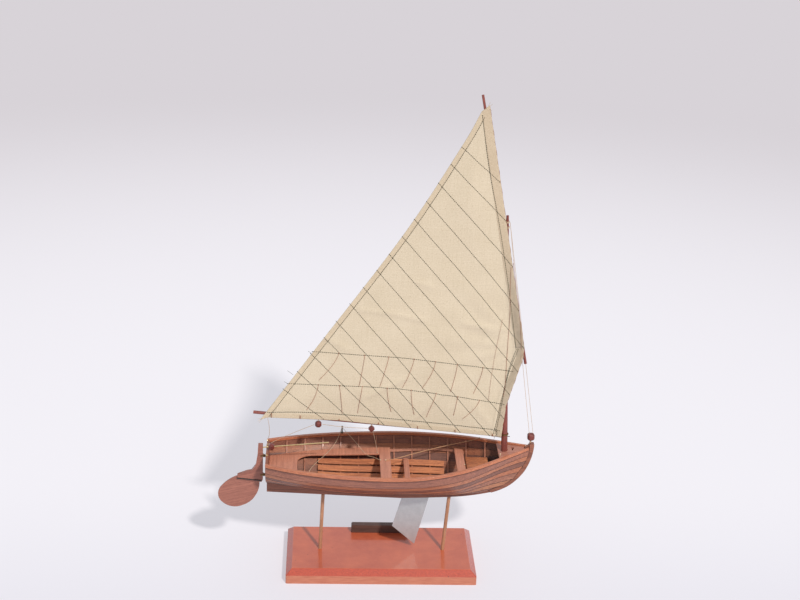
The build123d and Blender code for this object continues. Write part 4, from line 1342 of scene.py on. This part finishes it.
def stay_leg(side):
    """One of the two threads, a little slack halfway."""
    low = Vector((STAY_FOOT[0] + side * FOOT_SPREAD, side * STAY_GAP, STAY_FOOT[1]))
    high = Vector((STAY_HEAD[0], side * STAY_GAP, STAY_HEAD[1]))
    middle = high.lerp(low, 0.5) + Vector((side * MIDDLE_SPREAD, 0, -STAY_SAG))
    return sagging(high, middle, low)


stays = [stay_leg(side) for side in (-1, 1)]
forestay = laid_lines("forestay_threads", stays, 0.6, "linen_thread", HULL, step=0.5)
print("forestay of", len(stays), "threads")

# %% Lashings on the mast and at the stem
WRAP_STEPS = 18
# Height on the mast and radius of each lashing
ON_MAST = ((461.5, 2.05), (455.0, 2.1))
# The middle of the mast at one height, and how far aft it leans for each mm upwards
MAST_HEIGHT, MAST_X, MAST_RAKE = 469, 139.6, 0.0427


def mast_x(z):
    """Middle of the mast at a height; it rakes a little aft."""
    return MAST_X + MAST_RAKE * (MAST_HEIGHT - z)


def wraps(centre, radius, turns, pitch):
    """Turns of thread round something upright, from its aft side, as places in metres."""
    count = turns * WRAP_STEPS
    places = []
    for step in range(count + 1):
        angle = step / WRAP_STEPS * math.tau
        rise = (step / count - 0.5) * turns * pitch
        place = Vector((-math.cos(angle) * radius, -math.sin(angle) * radius, rise))
        places.append((place + Vector(centre)) * MM)
    return places


lashings = [wraps((mast_x(z), 0, z), radius, 4, 0.65) for z, radius in ON_MAST]
lashings.append(wraps((185.2, 0, 172.0), 0.9, 4, 0.62))
lashings.append([at(185.6, 0.4, 171.0), at(184.1, 1.6, 169.2), at(182.2, 3.0, 165.8), at(180.2, 4.0, 163.6)])
laid_lines("mast_lashings", lashings, 0.6, "linen_thread", HULL)
print(len(lashings), "lashings")

# %% Bridle, painter and their knots
bridle = [
    sagging((-51.5, 61.2, 159.4), (-61.2, 42.0, 140.2), (-91.2, -13.0, 138.4), (-93.0, -29.6, 136.0)),
    sagging(
        (-51.5, 61.2, 159.0), (-33.6, 38.4, 148.6), (-20.1, 20.6, 139.0), (-11.7, 19.9, 137.8),
        (-2.6, 14.0, 136.0),
    ),
]
rope = sagging(
    (4.0, 14.0, 136.1), (12.0, 15.5, 136.6), (26.0, 16.5, 140.0), (40.0, 21.0, 142.6),
    (76.0, 32.0, 147.6), (107.3, 36.0, 153.1), (115.0, 36.0, 155.1), (124.0, 36.2, 158.4),
)
HULL_KNOTS = (
    (-51.5, 61.0, 159.6), (-93.0, -29.6, 136.0), (-2.6, 14.0, 136.2), (4.0, 14.0, 136.4),
    (124.2, 36.4, 158.6), (-6.0, 35.2, 136.0), (102.6, -8.0, 142.2), (145.8, -14.2, 159.0),
    (146.6, -10.8, 159.1), (180.2, 4.0, 163.8),
)
TACK_KNOTS = ((138.4, -3.4, 180.2), (145.4, -4.4, 181.6), (142.0, -4.6, 181.0))
KNOT_SIZE = 2.0
laid_lines("bridle", bridle, 0.6, "linen_thread", HULL)
laid_lines("painter_rope", [rope], 1.1, "tan_rope", HULL, strands=3)
tie("hull_knots", [[at(*place) for place in HULL_KNOTS]], KNOT_SIZE, "linen_thread", HULL)
tie("tack_knots", [[at(*place) for place in TACK_KNOTS]], KNOT_SIZE, "linen_thread", RIG)
print("bridle, painter and", len(HULL_KNOTS) + len(TACK_KNOTS), "knots")

# %% The sheet and the clew line, from hull to rig
SHEET_FOOT, SHEET_HEAD = (-145.5, 14.0, 156.2), (-87.2, -3.4, 193.0)
FALL_FOOT, FALL_HEAD = (-6.0, 35.0, 136.0), (-13.8, -3.4, 185.0)
CLEW_FOOT, CLEW_HEAD = (-145.5, 35.0, 155.4), (-145.1, -6.6, 203.3)
SHEET_THICKNESS = 0.7
sheet = sagging(SHEET_FOOT, (-132.0, 10.4, 165.6), (-116.0, 5.2, 176.2), SHEET_HEAD)
between = sagging((-77.6, -3.4, 193.6), (-48.0, -3.4, 189.6), (-19.6, -3.4, 188.9))
fall = sagging(FALL_HEAD, (-9.6, 12.6, 161.0), (-7.2, 26.4, 144.0), FALL_FOOT)
clew = sagging(CLEW_FOOT, (-143.6, 22.0, 167.0), (-143.4, 9.0, 183.0), CLEW_HEAD)
sheet_line = laid_lines("sheet_line", [sheet], SHEET_THICKNESS, "linen_thread", HULL)
laid_lines("sheet_between_beads", [between], SHEET_THICKNESS, "linen_thread", RIG)
sheet_fall = laid_lines("sheet_fall", [fall], SHEET_THICKNESS, "linen_thread", HULL)
clew_line = laid_lines("clew_line", [clew], 0.65, "linen_thread", HULL)
# Where each line leaves the hull and where it joins the rig
crossing = {
    sheet_line: (at(*SHEET_FOOT), at(*SHEET_HEAD)),
    sheet_fall: (at(*FALL_FOOT), at(*FALL_HEAD)),
    clew_line: (at(*CLEW_FOOT), at(*CLEW_HEAD)),
}
print(len(crossing), "lines cross from hull to rig")

# %% [markdown]
# ## Small metal fittings
#
# Three brass eyes stand on the transom, one of them for the sheet, and a dark stanchion on the
# port rail carries the bridle. An eye is a ring on a shank: one wire goes straight up and then
# round. The stanchion is turned, so a few radii and heights describe it.

# %% Eyes
# Lowest place of each ring in three columns, then its radius and its turn about the shank
EYES = (
    (-145.5, 14.0, 153.9, 1.5, 0.0), (-145.5, -14.0, 153.7, 1.3, 1.2), (-145.5, 30.0, 153.2, 1.0, 0.6),
)
EYE_STEPS, SHANK, EYE_WIRE = 24, 1.6, 0.35


def tube(name, lines, radius, finish, body, roundness=3):
    """Round wire of this radius in millimetres bent along lists of places."""
    thing = lines_object(f"{name}_path", lines)
    thing.data.bevel_depth = radius * MM
    thing.data.bevel_resolution = roundness
    thing.data.use_fill_caps = True
    piece = keep_mesh(thing, name, finish, body)
    for face in piece.data.polygons:
        face.use_smooth = True


def eye(x, y, z, radius, turn):
    """Shank and ring of one screw eye in one stroke."""
    places = [Vector((x, y, z - SHANK)), Vector((x, y, z))]
    for step in range(1, EYE_STEPS + 1):
        angle = step / EYE_STEPS * math.tau - math.pi / 2
        out = math.cos(angle) * radius
        rise = z + radius + math.sin(angle) * radius
        places.append(Vector((x + out * math.cos(turn), y + out * math.sin(turn), rise)))
    return [place * MM for place in places]


tube("brass_eyes", [eye(*place) for place in EYES], EYE_WIRE, "brass", HULL)
print(len(EYES), "brass eyes")

# %% The turned stanchion
STANCHION_FOOT = Vector((-51.5, 61.5, 151.5))
# Radius and height of each step
STANCHION = (
    (1.9, 0.0), (1.9, 0.35), (1.15, 1.3), (0.85, 2.6), (0.8, 7.6), (1.2, 8.2), (1.3, 8.8), (0.9, 9.3),
    (0.0, 9.45),
)
STANCHION_SIDES = 24


def turned_stanchion():
    """Rings from the foot up, closed by one point at the top."""
    work = bmesh.new()
    rings = []
    for radius, height in STANCHION:
        ring = []
        for step in range(STANCHION_SIDES if radius else 1):
            angle = step / STANCHION_SIDES * math.tau
            place = Vector((math.cos(angle) * radius, math.sin(angle) * radius, height))
            ring.append(work.verts.new((place + STANCHION_FOOT) * MM))
        rings.append(ring)
    join_rings(work, rings)
    work.faces.new(list(reversed(rings[0])))
    bmesh.ops.recalc_face_normals(work, faces=work.faces)
    for face in work.faces:
        face.smooth = len(face.verts) < 5
    return mesh_from(work, "turned_stanchion")


stanchion = add("turned_stanchion", turned_stanchion(), "dark_metal", HULL)
print("stanchion", STANCHION[-1][1], "mm high")

# %% [markdown]
# ## Dark lines along the laps
#
# Where one plank laps over the next, a dark line runs along every strake: partly varnish and dust
# settled in the joint, partly painted shadow under the lap. Drawing it into a texture would need
# unwrapped planks. Here each strake is cut across at every four millimetres, the corner at its
# neighbour is found, and a thin dark bead is run through these corners: under the lower edges outside, over
# the upper edges inside.

# %% Where the laps lie
SECTION_START, SECTION_STEP = -146.3, 4.0
# How far below the top of a section its outer corner may lie
CORNER_DEPTH = 1.3
# The bead of varnish and painted shadow lies this far in from a corner, and below a lower corner or above an
# upper one
LOWER_IN, LOWER_DOWN, UPPER_IN, UPPER_UP = 0.18, 0.10, 0.10, 0.12


def sections(node, side):
    """Points where the edges of a CAD piece pass through planes across the boat, in mm."""
    mesh = frame["nodes"][node].data
    places = [vertex.co / MM for vertex in mesh.vertices]
    planes = {}
    for edge in mesh.edges:
        a, b = sorted((places[index] for index in edge.vertices), key=lambda place: place.x)
        if a.y * side <= 0:
            continue
        first = math.ceil((a.x - SECTION_START) / SECTION_STEP)
        last = math.floor((b.x - SECTION_START) / SECTION_STEP)
        for step in range(first, last + 1):
            if b.x > a.x:
                share = (SECTION_START + step * SECTION_STEP - a.x) / (b.x - a.x)
                planes.setdefault(step, []).append(a.lerp(b, share))
    return [planes[step] for step in sorted(planes)]


def lower_lap(node, side):
    """Places along the lower outer corner of a strake, where its edge drops to the one below."""
    places = []
    for points in sections(node, side):
        corner = max(points, key=lambda place: abs(place.y) - 3 * place.z)
        places.append((corner + Vector((0, -LOWER_IN * side, -LOWER_DOWN))) * MM)
    return places


def upper_lap(node, side):
    """Places along the upper outer corner of a strake, where the one above lies on it."""
    places = []
    for points in sections(node, side):
        top = max(point.z for point in points)
        corner = max((p for p in points if p.z > top - CORNER_DEPTH), key=lambda p: abs(p.y))
        places.append((corner + Vector((0, -UPPER_IN * side, UPPER_UP))) * MM)
    return places


print("strakes are cut across every", SECTION_STEP, "mm")

# %% Beads of varnish and painted shadow
# Where the planks meet the stem, x and z, and half the stem's thickness with a little air
RABBET = (
    (135.3, 104.2), (153.9, 112.7), (165.7, 121.4), (172.5, 131.2),
    (177.5, 140.0), (181.1, 147.4), (183.1, 154.6), (184.0, 161.1),
)
STEM_SIDE = 3.7
LAP_RADIUS, INNER_RADIUS, CHEEK_RADIUS = 0.27, 0.26, 0.85
outer = [lower_lap(node, side) for node in STRAKES + ["rails"] for side in (-1, 1)]
outer += [[at(x, side * STEM_SIDE, z) for x, z in RABBET] for side in (-1, 1)]
inner = [upper_lap(node, side) for node in STRAKES[:-1] for side in (-1, 1)]
# Painted shadow: a black line along the lower edge of the rudder stock's cheek, where the blade lies in its
# shade
cheek = [at(-183.5, -2.5, 116.9), at(-168.3, -2.6, 115.4), at(-152.6, -2.7, 113.9)]
tube("lap_varnish_and_shade", outer, LAP_RADIUS, "varnish_and_shade", HULL, 1)
tube("inner_varnish_and_shade", inner, INNER_RADIUS, "varnish_and_shade", HULL, 1)
tube("cheek_shadow_line", [cheek], CHEEK_RADIUS, "shadow_black", RUDDER, 2)
print(len(outer) + len(inner), "beads of varnish along the laps")

# %% [markdown]
# ## Floor, backdrop and light
#
# The photo stands on a white sweep that turns grey-lilac far away. A wide disc with its own
# colour near the boat keeps the shadow; further out it fades to the backdrop's colour, which the
# world shows to the camera too. A soft sun from the right and the front throws the shadow back
# to the left, and the pale world fills it.

# %% Floor and backdrop
BACKDROP = paint(216, 211, 216)
NEAR_FLOOR = paint(248, 245, 251)
FRONT_FLOOR = paint(229, 226, 236)
FLOOR_RADIUS, FLOOR_SIDES = 14.0, 96
# Metres along y over which the front colour gives way, and metres out over which the floor fades
FRONT_END, NEAR_START, FADE_START, FADE_END = -0.5, 0.25, 0.35, 2.6
# Share of the floor that glows by itself, so that it stays white without a second lamp
OWN_LIGHT = 0.48


def background_ray(tree):
    """One for what the camera sees directly, in a mirror or through glass."""
    path = put(tree, "ShaderNodeLightPath")
    seen = path.side("Is Camera Ray") + path.side("Is Glossy Ray") + path.side("Is Transmission Ray")
    return seen.math("MINIMUM", 1.0)


def sweep():
    """Floor that glows more the further away it is."""
    finish = Finish("floor", Roughness=0.9, Specular_IOR_Level=0.1)
    far = finish.put("VectorMath", {"operation": "LENGTH"}, {0: finish.place}).side("Value")
    near = finish.blend(finish.spread(finish.axis("Y"), FRONT_END, NEAR_START), FRONT_FLOOR, NEAR_FLOOR)
    finish.feed("Base Color", near)
    fade = finish.spread(far, FADE_START, FADE_END)
    glow = finish.put("Emission", None, {"Color": finish.blend(fade, near, BACKDROP)})
    lit = Wire(finish.tree, finish.shader.outputs[0])
    mixed = finish.put("MixShader", None, {0: fade * (1 - OWN_LIGHT) + OWN_LIGHT, 1: lit, 2: glow})
    finish.tree.links.new(mixed.socket, finish.output.inputs["Surface"])
    return finish.material


finishes["floor"] = sweep()
work = bmesh.new()
bmesh.ops.create_circle(work, cap_ends=True, segments=FLOOR_SIDES, radius=FLOOR_RADIUS)
floor = new_object("floor", mesh_from(work, "floor"))
dress(floor, "floor")
print("floor", 2 * FLOOR_RADIUS, "metres wide")

# %% World and lamp
SKY_COLOUR, SKY_STRENGTH = (0.88, 0.94, 1.0, 1.0), 0.50
SUN_COLOUR, SUN_STRENGTH, SUN_WIDTH = (1.0, 0.965, 0.91), 2.35, math.radians(4.0)
SUN_WAY = (-0.48, 1.05, -1.0)
scene = bpy.context.scene
scene.view_settings.view_transform = "Standard"
world = bpy.data.worlds.new("studio")
scene.world = world
world.use_nodes = True
sky = world.node_tree
sky.nodes.clear()
fill = put(sky, "ShaderNodeBackground", None, {"Color": SKY_COLOUR, "Strength": SKY_STRENGTH})
seen = put(sky, "ShaderNodeBackground", None, {"Color": BACKDROP, "Strength": 1.0})
both = put(sky, "ShaderNodeMixShader", None, {0: background_ray(sky), 1: fill, 2: seen})
put(sky, "ShaderNodeOutputWorld", None, {"Surface": both})
lamp = bpy.data.lights.new("sun", "SUN")
lamp.energy = SUN_STRENGTH
lamp.angle = SUN_WIDTH
lamp.color = SUN_COLOUR
sun = new_object("sun", lamp)
sun.rotation_euler = Vector(SUN_WAY).to_track_quat("-Z", "Y").to_euler()
print("sun from the right and the front")

# %% [markdown]
# ## Attaching the pieces
#
# Every piece now rides on the body that it moves with, except the lines that cross from hull
# to rig, and the CAD nodes that pieces stand for are hidden. The sail's width is taken from its outline.

# %% Ride and replace
for piece, (node, body) in pieces.items():
    name = piece.data.materials[0].name.removesuffix("_finish")
    if piece in crossing:
        continue
    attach(piece, body)
    if node:
        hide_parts(node)
for piece, (start, end) in crossing.items():
    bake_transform(piece)
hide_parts("sail")
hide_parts("forestay")
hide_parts("stanchion")

on_sail = [panel_seams, hem_seams, reef_bands, reef_points, reef_knots, head_lacing, foot_ties]
on_sail += [loose_threads, fine_thread, pale_frays, dark_frays]
width = max(point.x for point in outline) - min(point.x for point in outline)
hems + on_sail
